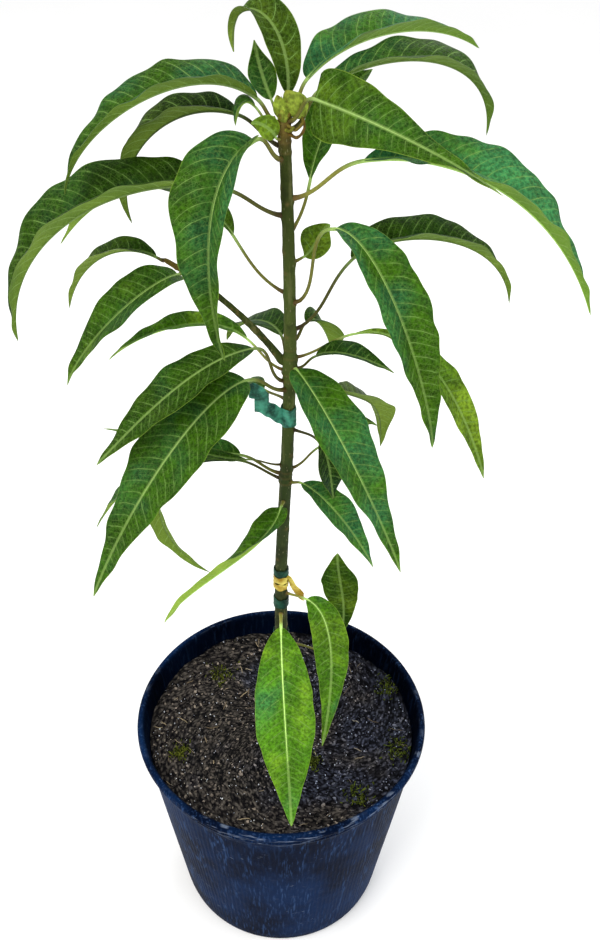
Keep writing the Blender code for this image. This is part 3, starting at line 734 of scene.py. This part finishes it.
def grow_leaf(sizes, joint, materials, seed):
    line = leaf_line(sizes, joint / MM)
    shape = Shape()
    add_blade(shape, sizes, line, np.random.default_rng(seed))
    add_rib(shape, sizes, line)
    dress(shape.piece("grown_leaf_" + sizes.name, materials, 70), "leaf_" + sizes.name)


def stem_joint(sizes):
    height = sizes.joint * MM
    return stem_centre(height) + (stem_radius(height) + GAP) * towards(sizes.way)


def shoot_path():
    """The side shoot's centre line: it leaves the stem steeply and levels out."""
    start = stem_centre(SHOOT_JOINT)
    centres = [start + (stem_radius(SHOOT_JOINT) + GAP) * towards(SHOOT_HEADING)]
    for step in range(SHOOT_STEPS):
        pitch = SHOOT_RISE + SHOOT_LEVELLING * (0.5 - step / (SHOOT_STEPS - 1))
        centres.append(centres[-1] + SHOOT_LENGTH / SHOOT_STEPS * raised(SHOOT_HEADING, pitch))
    return np.array(centres)


def shoot_joint(sizes):
    return shoot_path()[-1 - sizes.joint] + (SHOOT_TIP_RADIUS + 2 * GAP) * towards(sizes.way)


def grow_leaves():
    materials = [leaf_upper_material(), leaf_under_material(), leaf_rib_material()]
    for number, sizes in enumerate(LEAVES):
        grow_leaf(sizes, stem_joint(sizes), materials, 100 + number)
    for number, sizes in enumerate(SHOOT_LEAVES):
        grow_leaf(sizes, shoot_joint(sizes), materials, 200 + number)


def bark_material():
    """Dark at the foot, olive in the middle and green at the top, with leaf scars and pale pores."""
    look = Shader("bark", 0.7, 0.12)
    height = look.value("height")
    tint = look.mix(look.smooth(height, 0.25, 0.5), colour(58, 60, 38), colour(50, 62, 32))
    tint = look.mix(look.smooth(height, 0.5, 0.62), tint, colour(70, 82, 38))
    tint = look.mix(look.smooth(height, 0.68, 0.77), tint, colour(50, 59, 21))
    tint = look.mix(look.smooth(height, 0.782, 0.798), tint, colour(94, 80, 36))
    streaks = look.noise(260, 4, look.stretched(1, 1, 0.12))
    tint = look.tinge(tint, colour(116, 116, 76), look.smooth(streaks, 0.52, 0.72), 0.4)
    tint = look.tinge(tint, colour(34, 38, 20), look.clouds(60, 3, 0.5, 0.66), 0.5)
    pores = look.smooth(look.cells(300, look.stretched(1, 1, 0.5), "F1"), 0.2, 0.1)
    tint = look.tinge(tint, colour(132, 128, 92), pores, 0.35)
    tint = look.tinge(tint, colour(104, 86, 52), look.value("scar"), 0.6)
    look.paint(look.lit(tint, look.span(look.noise(900, 3), 0.7, 1.3)))
    look.roughen(streaks, 0.55, 0.85)
    look.relief(look.math("MULTIPLY_ADD", pores, 0.5, streaks), 0.0008, 0.7)
    return look.material


def add_bark(shape, centres, radius, side, other, scars, rings, random, young=0.0):
    """A closed limb with relief.

    scars are leaf seats, as rows of place along, angle and height. rings are rows of place along and height.
    young is how much higher up the stem the limb's colour is taken from, in metres.
    """
    angle = circle(BARK_SIDES)[None, :]
    run = run_along(centres)[:, None]
    relief = np.zeros((len(centres), BARK_SIDES))
    for waves in (5, 8, 13, 21):
        drift = random.uniform(0.02, 0.06) * run + random.uniform(0, TURN)
        swell = 1 + 0.5 * np.sin(run / random.uniform(9, 23))
        relief += 0.5 / waves * np.cos(waves * angle + drift) * swell
    relief += 0.07 * np.sin(run / 1.7 + 2 * np.cos(angle)) * np.sin(run / 5.3 + angle)
    marks = np.zeros_like(relief)
    for place, heading, high in scars:
        turn = turn_from(angle, heading)
        seat = bump(run, place, 2.2) * bump(turn, 0, SCAR_WIDTH)
        dip = bump(run, place + 0.4, 1.0) * bump(turn, 0, 0.5 * SCAR_WIDTH)
        relief += high * (seat - 0.55 * dip)
        marks = np.maximum(marks, bump(run, place + 0.3, 1.3) * bump(turn, 0, 0.6 * SCAR_WIDTH))
    for place, high in rings:
        relief += high * bump(run, place + 0.5 * np.sin(angle * 2), 1.2)
        marks = np.maximum(marks, 0.5 * bump(run, place, 0.9))
    surface = (radius[:, None] + relief)[..., None]
    points = centres[:, None, :] + rings_round(side, other, BARK_SIDES) * surface
    numbers = shape.corners(points, scar=marks, height=points[..., 2] * MM + young)
    ends = shape.corners(centres[[0, -1]], scar=0, height=centres[[0, -1], 2] * MM + young)
    shape.tube(numbers, ends, 0, BARK_PLACES)


def grow_stem(material):
    random = np.random.default_rng(7)
    heights = np.linspace(STEM_FOOT - 1.5 * MM, STEM_TOP + 1.2 * MM, 430)
    foot = heights[0] / MM
    scars = [(sizes.joint - 1.0 - foot, math.radians(sizes.way), 1.1) for sizes in LEAVES]
    for flush in (300, 352, 424, 470, 545, 585, 640, 690, 720, 765):
        for _ in range(4):
            place = flush + random.uniform(-14, 14) - foot
            scars.append((place, random.uniform(0, TURN), random.uniform(0.3, 0.6)))
    rings = []
    for height, high in (
        (517, 0.5), (523, 0.4), (528, 0.3), (614, 0.6), (619, 0.5),
        (633, 0.5), (640, 0.3), (785, 0.4), (792, 0.5), (799, 0.5),
    ):
        rings.append((height - foot, high))
    side, other = (np.broadcast_to(way, (len(heights), 3)) for way in ([1.0, 0.0, 0.0], [0.0, 1.0, 0.0]))
    radius = stem_radius(np.maximum(heights, STEM_FOOT)) / MM
    shape = Shape()
    add_bark(shape, stem_centre(heights) / MM, radius, side, other, scars, rings, random)
    dress(shape.piece("stem_bark", [material]), "stem")


def grow_shoot(material):
    random = np.random.default_rng(8)
    corners = shoot_path() / MM
    places = np.linspace(0, SHOOT_STEPS, 150)
    steps = np.arange(SHOOT_STEPS + 1)
    centres = np.stack([np.interp(places, steps, corners[:, axis]) for axis in range(3)], axis=-1)
    centres[0] -= towards(SHOOT_HEADING) * 1.5
    centres[-1] += unit(centres[-1] - centres[-2]) * 1.8
    along = unit(np.gradient(centres, axis=0))
    side = unit(np.cross(along, [0.0, 1.0, 0.0]))
    radius = np.linspace(SHOOT_FOOT_RADIUS, SHOOT_TIP_RADIUS, len(centres)) / MM
    radius = radius + 1.2 * np.exp(-places * 2.5)
    radius[-1] = 1.0
    scars = []
    for _ in range(14):
        scars.append((random.uniform(8, 108), random.uniform(0, TURN), random.uniform(0.25, 0.45)))
    rings = [(31, 0.35), (34, 0.3), (72, 0.35), (75, 0.25), (100, 0.4), (104, 0.4)]
    shape = Shape()
    add_bark(shape, centres, radius, side, np.cross(along, side), scars, rings, random, young=0.1)
    dress(shape.piece("side_shoot_bark", [material]), "side_shoot")


def bud_material():
    """Bud scales, brown at the foot and yellow green where they are young."""
    look = Shader("bud_scales", 0.6, 0.12)
    tint = look.mix(look.value("tone"), colour(92, 72, 30), colour(126, 146, 52))
    tint = look.tinge(tint, colour(112, 92, 40), look.smooth(look.value("along"), 0.7, 1.0), 0.4)
    streaks = look.noise(500, 4, look.stretched(1, 1, 0.3))
    tint = look.tinge(tint, colour(78, 66, 28), look.smooth(streaks, 0.52, 0.68), 0.5)
    look.paint(look.lit(tint, look.span(look.clouds(300, 2, 0.3, 0.7), 0.6, 1.4)))
    look.roughen(streaks, 0.45, 0.7)
    look.relief(streaks, 0.0005, 0.6)
    return look.material


def add_scale(shape, foot, way, lean, sway, length, width, curl, tone, place):
    """A cupped pointed scale. It leaves its foot leaning out, and curls back in along its length."""
    rows = 16
    share = np.linspace(0, 1, rows)
    pitch = np.radians(90 - lean + curl * share)
    cosine = np.cos(pitch)[:, None]
    sine = np.sin(pitch)[:, None]
    out = towards(way)
    rise = np.array([0.0, 0.0, 1.0])
    along = unit(cosine * out + sine * rise + math.tan(math.radians(sway)) * towards(way + 90))
    centre = foot + np.cumsum(along, axis=0) * length / rows
    outward = sine * out - cosine * rise
    side = np.cross(outward, along)[:, None, :]
    outward = outward[:, None, :]
    across = np.linspace(1, -1, 13)[None, :]
    half = (width / 2 * (0.42 * (1 - share) ** 0.5 + 0.75 * np.sin(math.pi * share**0.8)))[:, None] + 0.12
    cup = half * (0.45 * across**2 + 0.06 * np.sin(9 * share[:, None] + 4 * across + way))
    middle = centre[:, None, :] + side * (across * half)[..., None] - outward * cup[..., None]
    thick = (0.35 * np.sqrt(1 - across**4) * (1.1 - share[:, None]))[..., None]
    thick = thick * np.minimum(1, 8 * (1 - share))[:, None, None]
    inner = (slice(None), slice(1, -1))
    upper, lower = shape.two_faces(middle, outward * thick, inner, along=share[:, None], tone=tone)
    u, v = place
    shape.grid(upper, 0, (u + 0.005, v + 0.01, u + 0.055, v + 0.18))
    shape.grid(lower, 0, (u + 0.065, v + 0.01, u + 0.115, v + 0.18))
    foot_ring = np.concatenate([upper[0], lower[0, -2:0:-1]])
    centre_number = shape.corners(centre[:1], along=0, tone=tone)
    shape.fan(foot_ring, centre_number[0], 0, (u + 0.01, v + 0.182, u + 0.03, v + 0.197))


def add_stump(shape, points, radius, tone, place):
    """A round stalk through the points, thicker at its foot."""
    path = smooth_path(points, 7)
    along = unit(np.gradient(path, axis=0))
    side = unit(np.cross(along, [0.3, 1.0, 0.2]))
    share = np.linspace(0, 1, len(path))[:, None, None]
    girth = radius * (1.25 - 0.45 * share + 0.1 * np.sin(23 * share))
    ring = path[:, None, :] + girth * rings_round(side, np.cross(along, side), 14)
    numbers = shape.corners(ring, along=0.3, tone=tone)
    ends = shape.corners(path[[0, -1]], along=0.3, tone=tone)
    u, v = place
    places = [(u + 0.005, v + 0.01, u + 0.08, v + 0.18)]
    places += [(u + 0.09, v + low, u + 0.11, v + low + 0.02) for low in (0.01, 0.05)]
    shape.tube(numbers, ends, 0, places)


def grow_tip():
    """A bud between two broad young bracts, smaller scales round it, and curled old stalks."""
    shape = Shape()
    foot = stem_centre(STEM_TOP) / MM
    # Rows of heading, lean, sway, length, width, curl, tone and distance from the middle
    scales = [
        (0, 4, 0, 15, 5.0, 26, 0.8, 0.4), (130, 5, 0, 15, 5.0, 24, 0.8, 0.2),
        (80, 8, 0, 14, 6.0, 24, 0.7, 1.6), (262, 8, -14, 17, 9.5, 8, 1.0, 2.6),
        (225, 14, -8, 14, 8.0, 20, 0.9, 3.2), (282, 20, -20, 9, 6.5, 30, 0.75, 4.0),
        (300, 12, 6, 13, 5.5, 24, 0.85, 2.4), (190, 20, 0, 11, 6.0, 36, 0.55, 3.0),
        (330, 40, 0, 8, 5.0, 50, 0.15, 3.0), (150, 30, 0, 9, 5.0, 50, 0.2, 2.6),
        (20, 46, 0, 8, 4.6, 60, 0.2, 2.6), (240, 52, 0, 7, 4.8, 60, 0.3, 3.4),
    ]
    for number, (way, *sizes, out) in enumerate(scales):
        start = foot + towards(way) * out + [0, 0, 0.2 - 0.35 * out]
        add_scale(shape, start, way, *sizes, ((number % 8) * 0.12, (number // 8) * 0.2))
    add_scale(shape, foot + [12.0, -4.5, 1.0], 272, 10, -30, 23, 14.5, -8, 0.9, (0.48, 0.2))
    add_scale(shape, foot + [11.0, -2.5, 1.0], 268, 2, -36, 19, 10.0, -5, 0.75, (0.6, 0.2))
    stalks = [
        [(2.5, -2.5, -8), (8, -5.5, -10), (12.5, -5.5, -5), (12, -4.5, 2)],
        [(2.0, -3.0, -3), (7, -6, -5), (11.5, -5.5, -1), (11, -4.5, 3)],
        [(-3.0, -2.5, -3), (-5.5, -4, -0.5), (-6.5, -4.5, 3)],
        [(1.0, -3.5, -6), (4.0, -6.5, -5.5), (6.0, -7.5, -2.5)],
    ]
    for number, points in enumerate(stalks):
        add_stump(shape, foot + np.array(points), 0.95, 0.12 * number, (number * 0.12, 0.4))
    dress(shape.piece("growing_tip_scales", [bud_material()], 60), "growing_tip")


def pot_material():
    """Navy black moulded plastic with fine upright streaks, dust and scuffs. The streaks' pale blue is partly a
    painted sheen, the pale marks along the rim are partly rubbing and partly painted highlights, and the inside
    is painted shade.
    """
    look = Shader("pot_plastic", 0.5, 0.01)
    streaks = look.noise(520, 3, look.stretched(1, 1, 0.014))
    streak_sheen_bands = look.noise(90, 2, look.stretched(1, 1, 0.05))
    clouds = look.clouds(14, 4, 0.36, 0.64)
    dust = look.noise(160, 5)
    tint = look.mix(clouds, colour(10, 19, 36), colour(16, 36, 66))
    streak_sheen_bands = look.span(look.smooth(streak_sheen_bands, 0.4, 0.65), 0.15, 0.75)
    # The pale blue on the streaks is partly their own colour and partly a painted sheen, strongest in the
    # bands.
    tint = look.tinge(tint, colour(48, 70, 106), look.smooth(streaks, 0.5, 0.68), streak_sheen_bands)
    tint = look.tinge(tint, colour(96, 106, 124), look.smooth(dust, 0.54, 0.72), clouds, 0.08)
    scuffs = look.smooth(look.noise(240, 2, look.stretched(0.5, 0.5, 3.2)), 0.68, 0.74)
    scuffs = look.product(scuffs, look.clouds(22, 2, 0.58, 0.66), 0.5)
    # Pale streaks along the rim: partly rubbed wear and partly painted highlights.
    rim_rubs_and_highlights = look.smooth(look.noise(70, 4, look.stretched(1, 1, 9)), 0.55, 0.68)
    rim_rubs_and_highlights = look.product(rim_rubs_and_highlights, look.clouds(9, 2, 0.42, 0.6), look.value("rim"), 0.55)
    tint = look.mix(look.math("MAXIMUM", scuffs, rim_rubs_and_highlights), tint, colour(120, 132, 152))
    # Painted shade: the inner faces of the pot are drawn near black.
    look.paint(look.tinge(tint, colour(5, 6, 11), look.value("inside"), 0.8))
    look.roughen(look.math("ADD", look.product(dust, 0.5), look.product(streaks, 0.5)), 0.3, 0.62)
    look.relief(look.math("MULTIPLY_ADD", streaks, 1.0, look.product(dust, 0.4)), 0.0006, 0.55)
    return look.material


def inner_wall(height):
    """The radius of the pot's inside at a height."""
    return POT_INNER_FOOT + (POT_INNER_TOP - POT_INNER_FOOT) * (height - POT_FLOOR) / (POT_HEIGHT - POT_FLOOR)


def arc(radius, height, wide, high, start, end, steps):
    """Points of radius and height on part of an ellipse."""
    angles = np.radians(np.linspace(start, end, steps))
    return [(radius + wide * math.cos(angle), height + high * math.sin(angle)) for angle in angles]


def pot_profile():
    """The pot's outline from the middle of its underside, up its wall, over its lip and down inside."""
    def wall(height):
        return POT_FOOT_RADIUS + (POT_TOP_RADIUS - LIP_OVERHANG - POT_FOOT_RADIUS) * height / POT_HEIGHT

    # Rows of radius and height
    profile = [(0.0, 1.6), (20, 1.6), (30, 1.6), (31, 0.9), (60, 0.9), (61, 1.6), (88, 1.6), (91, 0.8)]
    profile += [(93, 0.0), (100, 0.0)] + arc(POT_FOOT_RADIUS - 4, 4, 4, 4, -90, 0, 7)
    profile += [(wall(height), height) for height in np.linspace(8, 212, 34)]
    for height, out in ((214, 0.3), (216, 1.4), (218, 2.1), (220, 1.7), (222, 0.5), (224, 0), (226, 0.6)):
        profile.append((wall(height) + out, height))
    profile += arc(POT_TOP_RADIUS - 3.4, POT_HEIGHT - 4.6, 3.4, 4.6, -75, 100, 16)
    profile += [(POT_TOP_RADIUS - 5.2, POT_HEIGHT - 0.4), (POT_TOP_RADIUS - 6.2, POT_HEIGHT - 1.6)]
    profile.append((POT_INNER_TOP - 0.1, POT_HEIGHT - 4))
    profile += [(inner_wall(height), height) for height in np.linspace(POT_HEIGHT - 7, POT_FLOOR + 3, 16)]
    profile += [(POT_INNER_FOOT - 2, POT_FLOOR), (60, POT_FLOOR), (0.0, POT_FLOOR)]
    return np.array(profile)


def make_pot():
    random = np.random.default_rng(11)
    profile = pot_profile()
    angle = circle(POT_SIDES)[None, :]
    radius = profile[1:-1, :1]
    height = profile[1:-1, 1:]
    number = np.arange(len(radius))[:, None]
    on_wall = ease(8, 20, height) * (1 - ease(200, 212, height)) * (number < np.argmax(radius))
    ribs = RIB_HEIGHT * np.cos(POT_RIBS * angle) * on_wall
    sag = 0.55 * ease(20, 150, height) * (np.cos(3 * angle + 0.6) + 0.6 * np.cos(5 * angle + 2.1))
    dents = np.zeros_like(sag)
    for _ in range(DENTS):
        turn = turn_from(angle, random.uniform(0, TURN))
        dents -= random.uniform(0.2, 0.5) * bump(turn, 0, 0.13) * bump(height, random.uniform(40, 180), 28)
    full = radius + ribs + np.where(radius > 80, sag * 0.6, 0) + dents * on_wall
    shape = Shape()
    # inside runs from 0 outside the lip to 1 on the pot's inner faces, which the material paints dark as
    # painted shade.
    inside = ease(0, 4, number - np.argmax(height))
    rim = ease(208, 216, height) * (1 - inside)
    numbers = shape.corners(points_round(full, angle, height), inside=inside, rim=rim)
    ends = shape.corners(np.array([[0, 0, profile[0, 1]], [0, 0, profile[-1, 1]]]), inside=0, rim=0)
    shape.tube(numbers, ends)
    dress(shape.piece("pot_moulded", [pot_material()], 50, bake_map=False), "pot")


def loose_material(name, dark, bright, other, roughness, scale):
    """Loose matter. Each bit has its own shade from dark to bright, or to another colour on one side."""
    look = Shader(name, roughness, 0.05)
    grain = look.noise(scale, 4)
    place = look.node("SeparateXYZ", Vector=look.place)
    side = look.math("MULTIPLY_ADD", place.outputs["X"], 1.8, look.noise(17, 3))
    bright = look.tinge(colour(*bright), colour(*other), look.smooth(side, 0.44, 0.66), 0.8)
    tint = look.mix(look.value("tone"), colour(*dark), bright)
    look.paint(look.lit(tint, look.span(grain, 0.2, 1.8)))
    look.roughen(grain, roughness - 0.15, roughness + 0.05)
    look.relief(grain, 0.0012, 0.8)
    return look.material


def ground_height(x, y):
    """The uneven top of the potting mix, in mm."""
    random = np.random.default_rng(21)
    total = np.zeros_like(x)
    for length, high in ((90, 1.1), (55, 0.9), (30, 0.8), (17, 0.6), (9, 0.5), (5, 0.4)):
        for _ in range(4):
            way = random.uniform(0, TURN)
            phase = random.uniform(0, TURN)
            total += high / 2 * np.sin(TURN * (x * math.cos(way) + y * math.sin(way)) / length + phase)
    distance = np.hypot(x, y)
    edge = 1.5 * ease(110, 130, distance)
    return MIX_HEIGHT - 0.6 + total + edge + 2.2 * bump(distance, 0, 20)


MIX_RADIUS = inner_wall(MIX_HEIGHT) - MIX_CLEAR
ICOSAHEDRON_FACES = np.array([
    (0, 11, 5), (0, 5, 1), (0, 1, 7), (0, 7, 10), (0, 10, 11), (1, 5, 9), (5, 11, 4), (11, 10, 2), (10, 7, 6),
    (7, 1, 8), (3, 9, 4), (3, 4, 2), (3, 2, 6), (3, 6, 8), (3, 8, 9), (4, 9, 5), (2, 4, 11), (6, 2, 10),
    (8, 6, 7), (9, 8, 1),
])


def icosahedron():
    long = (1 + math.sqrt(5)) / 2
    pairs = [(-1, long), (1, long), (-1, -long), (1, -long)]
    corners = [(a, b, 0) for a, b in pairs] + [(0, a, b) for a, b in pairs] + [(b, 0, a) for a, b in pairs]
    return unit(np.array(corners, float))


def random_turns(count, random, level):
    """Rotations, as rows of three axes. level from 0 to 1 keeps the third axis near upright."""
    spin = random.uniform(0, TURN, count)
    tilt = random.normal(0, 1 - level, count) * 1.2
    lean = random.uniform(0, TURN, count)
    axis = np.stack([np.cos(lean) * np.sin(tilt), np.sin(lean) * np.sin(tilt), np.cos(tilt)], axis=-1)
    first = unit(np.cross(axis, np.stack([np.cos(spin), np.sin(spin), 0.3 + 0 * spin], axis=-1)))
    return np.stack([first, np.cross(axis, first), axis], axis=1)


def scatter(count, random, centre=(0, 0), spread=None):
    """Places on top of the potting mix, all over it or round one spot."""
    limit = MIX_RADIUS - 1.5
    if spread is None:
        radius = limit * np.sqrt(random.uniform(0.004, 1, count))
        angle = random.uniform(0, TURN, count)
        x, y = radius * np.cos(angle), radius * np.sin(angle)
    else:
        x, y = (centre[axis] + random.normal(0, spread, count) for axis in (0, 1))
        pull = np.minimum(1, limit / np.hypot(x, y))
        x, y = x * pull, y * pull
    return np.stack([x, y, ground_height(x, y)], axis=-1)


def add_lumps(shape, kind, random, centre=(0, 0), spread=None):
    """Rough closed lumps on the mix. Those round one spot are moss, and stand up."""
    count = kind.count
    places = scatter(count, random, centre, spread) + [0, 0, kind.lift]
    long = random.uniform(*kind.lengths, count)
    wide = long * random.uniform(0.4, 0.9, count)
    sizes = np.stack([long, wide, long * random.uniform(*kind.flatness, count)], axis=-1)
    if spread:
        sizes = sizes[:, [1, 2, 0]] * [0.5, 0.8, 1.2]
    turns = random_turns(count, random, kind.level)
    tones = random.uniform(*kind.tones, count) ** kind.power
    corners = icosahedron()[None] * (1 + random.normal(0, LUMP_ROUGHNESS, (count, 12, 1)))
    corners = corners * sizes[:, None, :]
    points = np.einsum("nci,nij->ncj", corners, turns) + places[:, None, :]
    numbers = shape.corners(points, tone=tones[:, None])
    faces = numbers[:, ICOSAHEDRON_FACES]
    shape.add_faces(faces, np.zeros((*faces.shape, 2)), kind.group)


def add_straws(shape, random, group):
    """Thin bent fibres that lie on the potting mix."""
    steps = np.linspace(-0.5, 0.5, 7)
    for place in scatter(STRAWS, random):
        way = random.uniform(0, 360)
        long = random.uniform(*STRAW_LENGTHS)
        headings = way + random.uniform(-30, 30) * steps
        path = place[:2] + np.cumsum(towards(headings)[:, :2], axis=0) * long / 7
        path = path * min(1, (MIX_RADIUS - 3) / np.hypot(*path.T).max())
        height = ground_height(path[:, 0], path[:, 1]) + 1.1 + random.uniform(-0.3, 0.9)
        centre = np.column_stack([path, height])
        half = (random.uniform(*STRAW_WIDTHS) * (1 - (2 * steps) ** 4 * 0.7))[:, None]
        side = towards(headings + 90) * half
        rise = [0, 0, 1] * (0.4 * half)
        points = np.stack([centre + side, centre + rise, centre - side, centre - rise], axis=1)
        tone = random.uniform(0, 1)
        numbers = shape.corners(points, tone=tone)
        shape.tube(numbers, shape.corners(centre[[0, -1]], tone=tone), group)


def add_ground(shape, random):
    """The mix itself: its crumbled top, and the walls and floor that the pot hides."""
    angle = circle(MIX_SIDES)[None, :]
    radius = (MIX_RADIUS * np.linspace(0, 1, 74)[1:] ** 0.85)[:, None]
    x, y = radius * np.cos(angle), radius * np.sin(angle)
    crumbs = random.normal(0, 0.28, x.shape)
    crumbs[-1] = 0
    top = np.stack([x, y, ground_height(x, y) + crumbs], axis=-1)
    rows = [shape.corners(top, tone=random.uniform(0, 1, x.shape) ** 4)]
    middle = shape.corners(np.array([[0, 0, ground_height(np.zeros(1), np.zeros(1))[0]]]), tone=0)
    for height in (150, 80, POT_FLOOR + 0.5):
        reach = inner_wall(height) - MIX_CLEAR
        rows.append(shape.corners(points_round(reach, angle[0], height), tone=0.1))
    bottom = shape.corners(np.array([[0, 0, POT_FLOOR + 0.5]]), tone=0)
    shape.tube(np.vstack(rows), [middle[0], bottom[0]])


def make_mix():
    random = np.random.default_rng(31)
    shape = Shape()
    add_ground(shape, random)
    for kind in (CHIPS, CRUMBS, GRAINS):
        add_lumps(shape, kind, random)
    add_straws(shape, random, 3)
    for centre, spread in MOSS_PATCHES:
        add_lumps(shape, MOSS, random, centre, spread)
    materials = [loose_material(*kind) for kind in (
        ("soil", (14, 14, 17), (94, 88, 82), (70, 77, 98), 0.95, 700),
        ("bark_chips", (26, 25, 28), (142, 130, 118), (112, 120, 142), 0.9, 500),
        ("white_grains", (110, 116, 134), (214, 216, 220), (190, 204, 236), 0.85, 600),
        ("straw", (92, 80, 64), (160, 144, 116), (140, 136, 128), 0.8, 400),
        ("moss", (44, 52, 18), (102, 108, 44), (88, 100, 40), 0.9, 600),
    )]
    dress(shape.piece("potting_mix_loose", materials, 35, bake_map=False), "potting_mix")


def tape_material(name, deep, bright):
    """Thin stretched plastic tape: wrinkled, a little glossy, and paler where it is thin."""
    look = Shader(name, 0.4, 0.2)
    wrinkles = look.noise(320, 4, look.stretched(1, 1, 2.5), 0.8)
    folds = look.noise(110, 3)
    tint = look.mix(look.smooth(folds, 0.35, 0.68), deep, bright)
    tint = look.tinge(tint, bright, look.smooth(wrinkles, 0.6, 0.78), 0.5)
    look.paint(look.tinge(tint, deep, look.smooth(wrinkles, 0.4, 0.25), 0.5))
    look.roughen(folds, 0.28, 0.55)
    look.relief(wrinkles, 0.0012, 0.8)
    return look.material


def add_band(shape, path, thickness, random, wrinkle):
    """A strip of tape along rows of x, y, low and high, with creases across it."""
    xy = path[:, :2]
    along = ways_along(xy)
    out = np.column_stack([along[:, 1], -along[:, 0], np.zeros(len(along))])[:, None, :]
    share = np.linspace(0, 1, 9)[None, :]
    run = run_along(xy)[:, None]
    height = path[:, 2:3] + (path[:, 3:4] - path[:, 2:3]) * share
    phases = random.uniform(0, TURN, 4)
    crease = np.sin(height * 1.7 + 0.35 * run + phases[0])
    crease = crease + 0.6 * np.sin(height * 2.9 - 0.8 * run + phases[1])
    crease = crease + 0.5 * np.sin(0.9 * run + phases[2])
    height = height + 0.5 * np.sin(0.7 * run + phases[3]) * (2 * share - 1)
    base = np.stack(np.broadcast_arrays(xy[:, :1], xy[:, 1:], height), axis=-1)
    base = base + out * (wrinkle * crease)[..., None]
    front = shape.corners(base + out * thickness / 2)
    back = shape.corners(base - out * thickness / 2)
    shape.grid(closed(np.concatenate([front, back[:, ::-1]], axis=1)))
    for end in (0, -1):
        shape.grid(np.stack([front[end], back[end]], axis=0))


def wrap_path(low, high, first, turn, clear, growth, slope):
    """A strip wound round the stem, as rows of x, y, low and high."""
    share = np.linspace(0, 1, 60)
    ways = first + turn * share
    centre = stem_centre((low + high) / 2 * MM) / MM
    radius = stem_radius(low * MM) / MM + clear + growth * share[:, None]
    around = centre[:2] + radius * towards(ways)[:, :2]
    tilt = slope * np.sin(np.radians(ways))
    return np.column_stack([around, low + tilt, high + tilt])


def wind_tape(sizes, seed):
    random = np.random.default_rng(seed)
    shape = Shape()
    for number, (low, high) in enumerate(sizes.wraps):
        path = wrap_path(low, high, sizes.start, TAPE_WRAP, 0.85, 0.5, 0)
        if sizes.tag and number == len(sizes.wraps) - 1:
            path = np.vstack([smooth_path([*sizes.tag[0], path[0]], 9)[:-1], path])
        add_band(shape, path, 0.35, random, 0.14)
        inner = wrap_path(low + 0.8, high - 0.8, sizes.start + 40, 352, 0.45, 0, 0.8)
        add_band(shape, inner, 0.3, random, 0.08)
    for strip in sizes.tag[1:]:
        add_band(shape, smooth_path(strip, 9), 0.35, random, 0.2)
    return shape


def wind_tapes():
    materials = {
        "tape_teal": tape_material("tape_teal", colour(16, 62, 52), colour(78, 160, 136)),
        "tape_yellow": tape_material("tape_yellow", colour(158, 124, 36), colour(216, 200, 98)),
        "tape_green": tape_material("tape_green", colour(12, 46, 36), colour(34, 84, 66)),
    }
    for number, sizes in enumerate(TAPES):
        shape = wind_tape(sizes, 400 + number)
        piece = shape.piece(sizes.name + "_wound", [materials[sizes.slot]], 50, bake_map=False)
        dress(piece, sizes.name)


def make_stage():
    """A wide pale floor, soft lights and the camera."""
    mesh = bpy.data.meshes.new("floor")
    corners = [(x * FLOOR_REACH, y * FLOOR_REACH, 0) for x, y in ((-1, -1), (1, -1), (1, 1), (-1, 1))]
    mesh.from_pydata(corners, [], [(0, 1, 2, 3)])
    look = Shader("floor_paper", 0.9, 0.1)
    look.paint(look.mix(look.noise(2.0, 2), colour(248, 248, 248), colour(252, 252, 252)))
    mesh.materials.append(look.material)
    floor = new_object("floor", mesh)

    world = bpy.data.worlds.new("studio")
    world.use_nodes = True
    sky = world.node_tree.nodes["Background"]
    sky.inputs["Color"].default_value = (1.0, 1.0, 1.0, 1.0)
    sky.inputs["Strength"].default_value = 1.0
    bpy.context.scene.world = world

    for name, place, size, power, tint in LIGHTS:
        light = bpy.data.lights.new(name, "AREA")
        light.size = size
        light.energy = power
        light.color = tint
        lamp = new_object(name, light)
        lamp.location = place
        aim = np.array(LIGHT_AIM) - place
        pitch = math.atan2(math.hypot(aim[0], aim[1]), -aim[2])
        lamp.rotation_euler = (pitch, 0.0, math.atan2(aim[1], aim[0]) - math.pi / 2)

    camera_data = bpy.data.cameras.new("camera")
    camera_data.lens = CAMERA_LENS
    camera_data.sensor_width = CAMERA_SENSOR
    camera_data.shift_x = CAMERA_SHIFT
    camera_data.clip_start = 0.01
    camera = new_object("camera", camera_data)
    camera.location = CAMERA_PLACE
    camera.rotation_euler = (math.radians(CAMERA_TILT), 0.0, 0.0)
    bpy.context.scene.camera = camera
    bpy.context.scene.view_settings.view_transform = "Standard"


make_stage()
make_pot()
make_mix()
bark = bark_material()
grow_stem(bark)
grow_shoot(bark)
grow_tip()
wind_tapes()
grow_leaves()

bpy.context.view_layer.update()
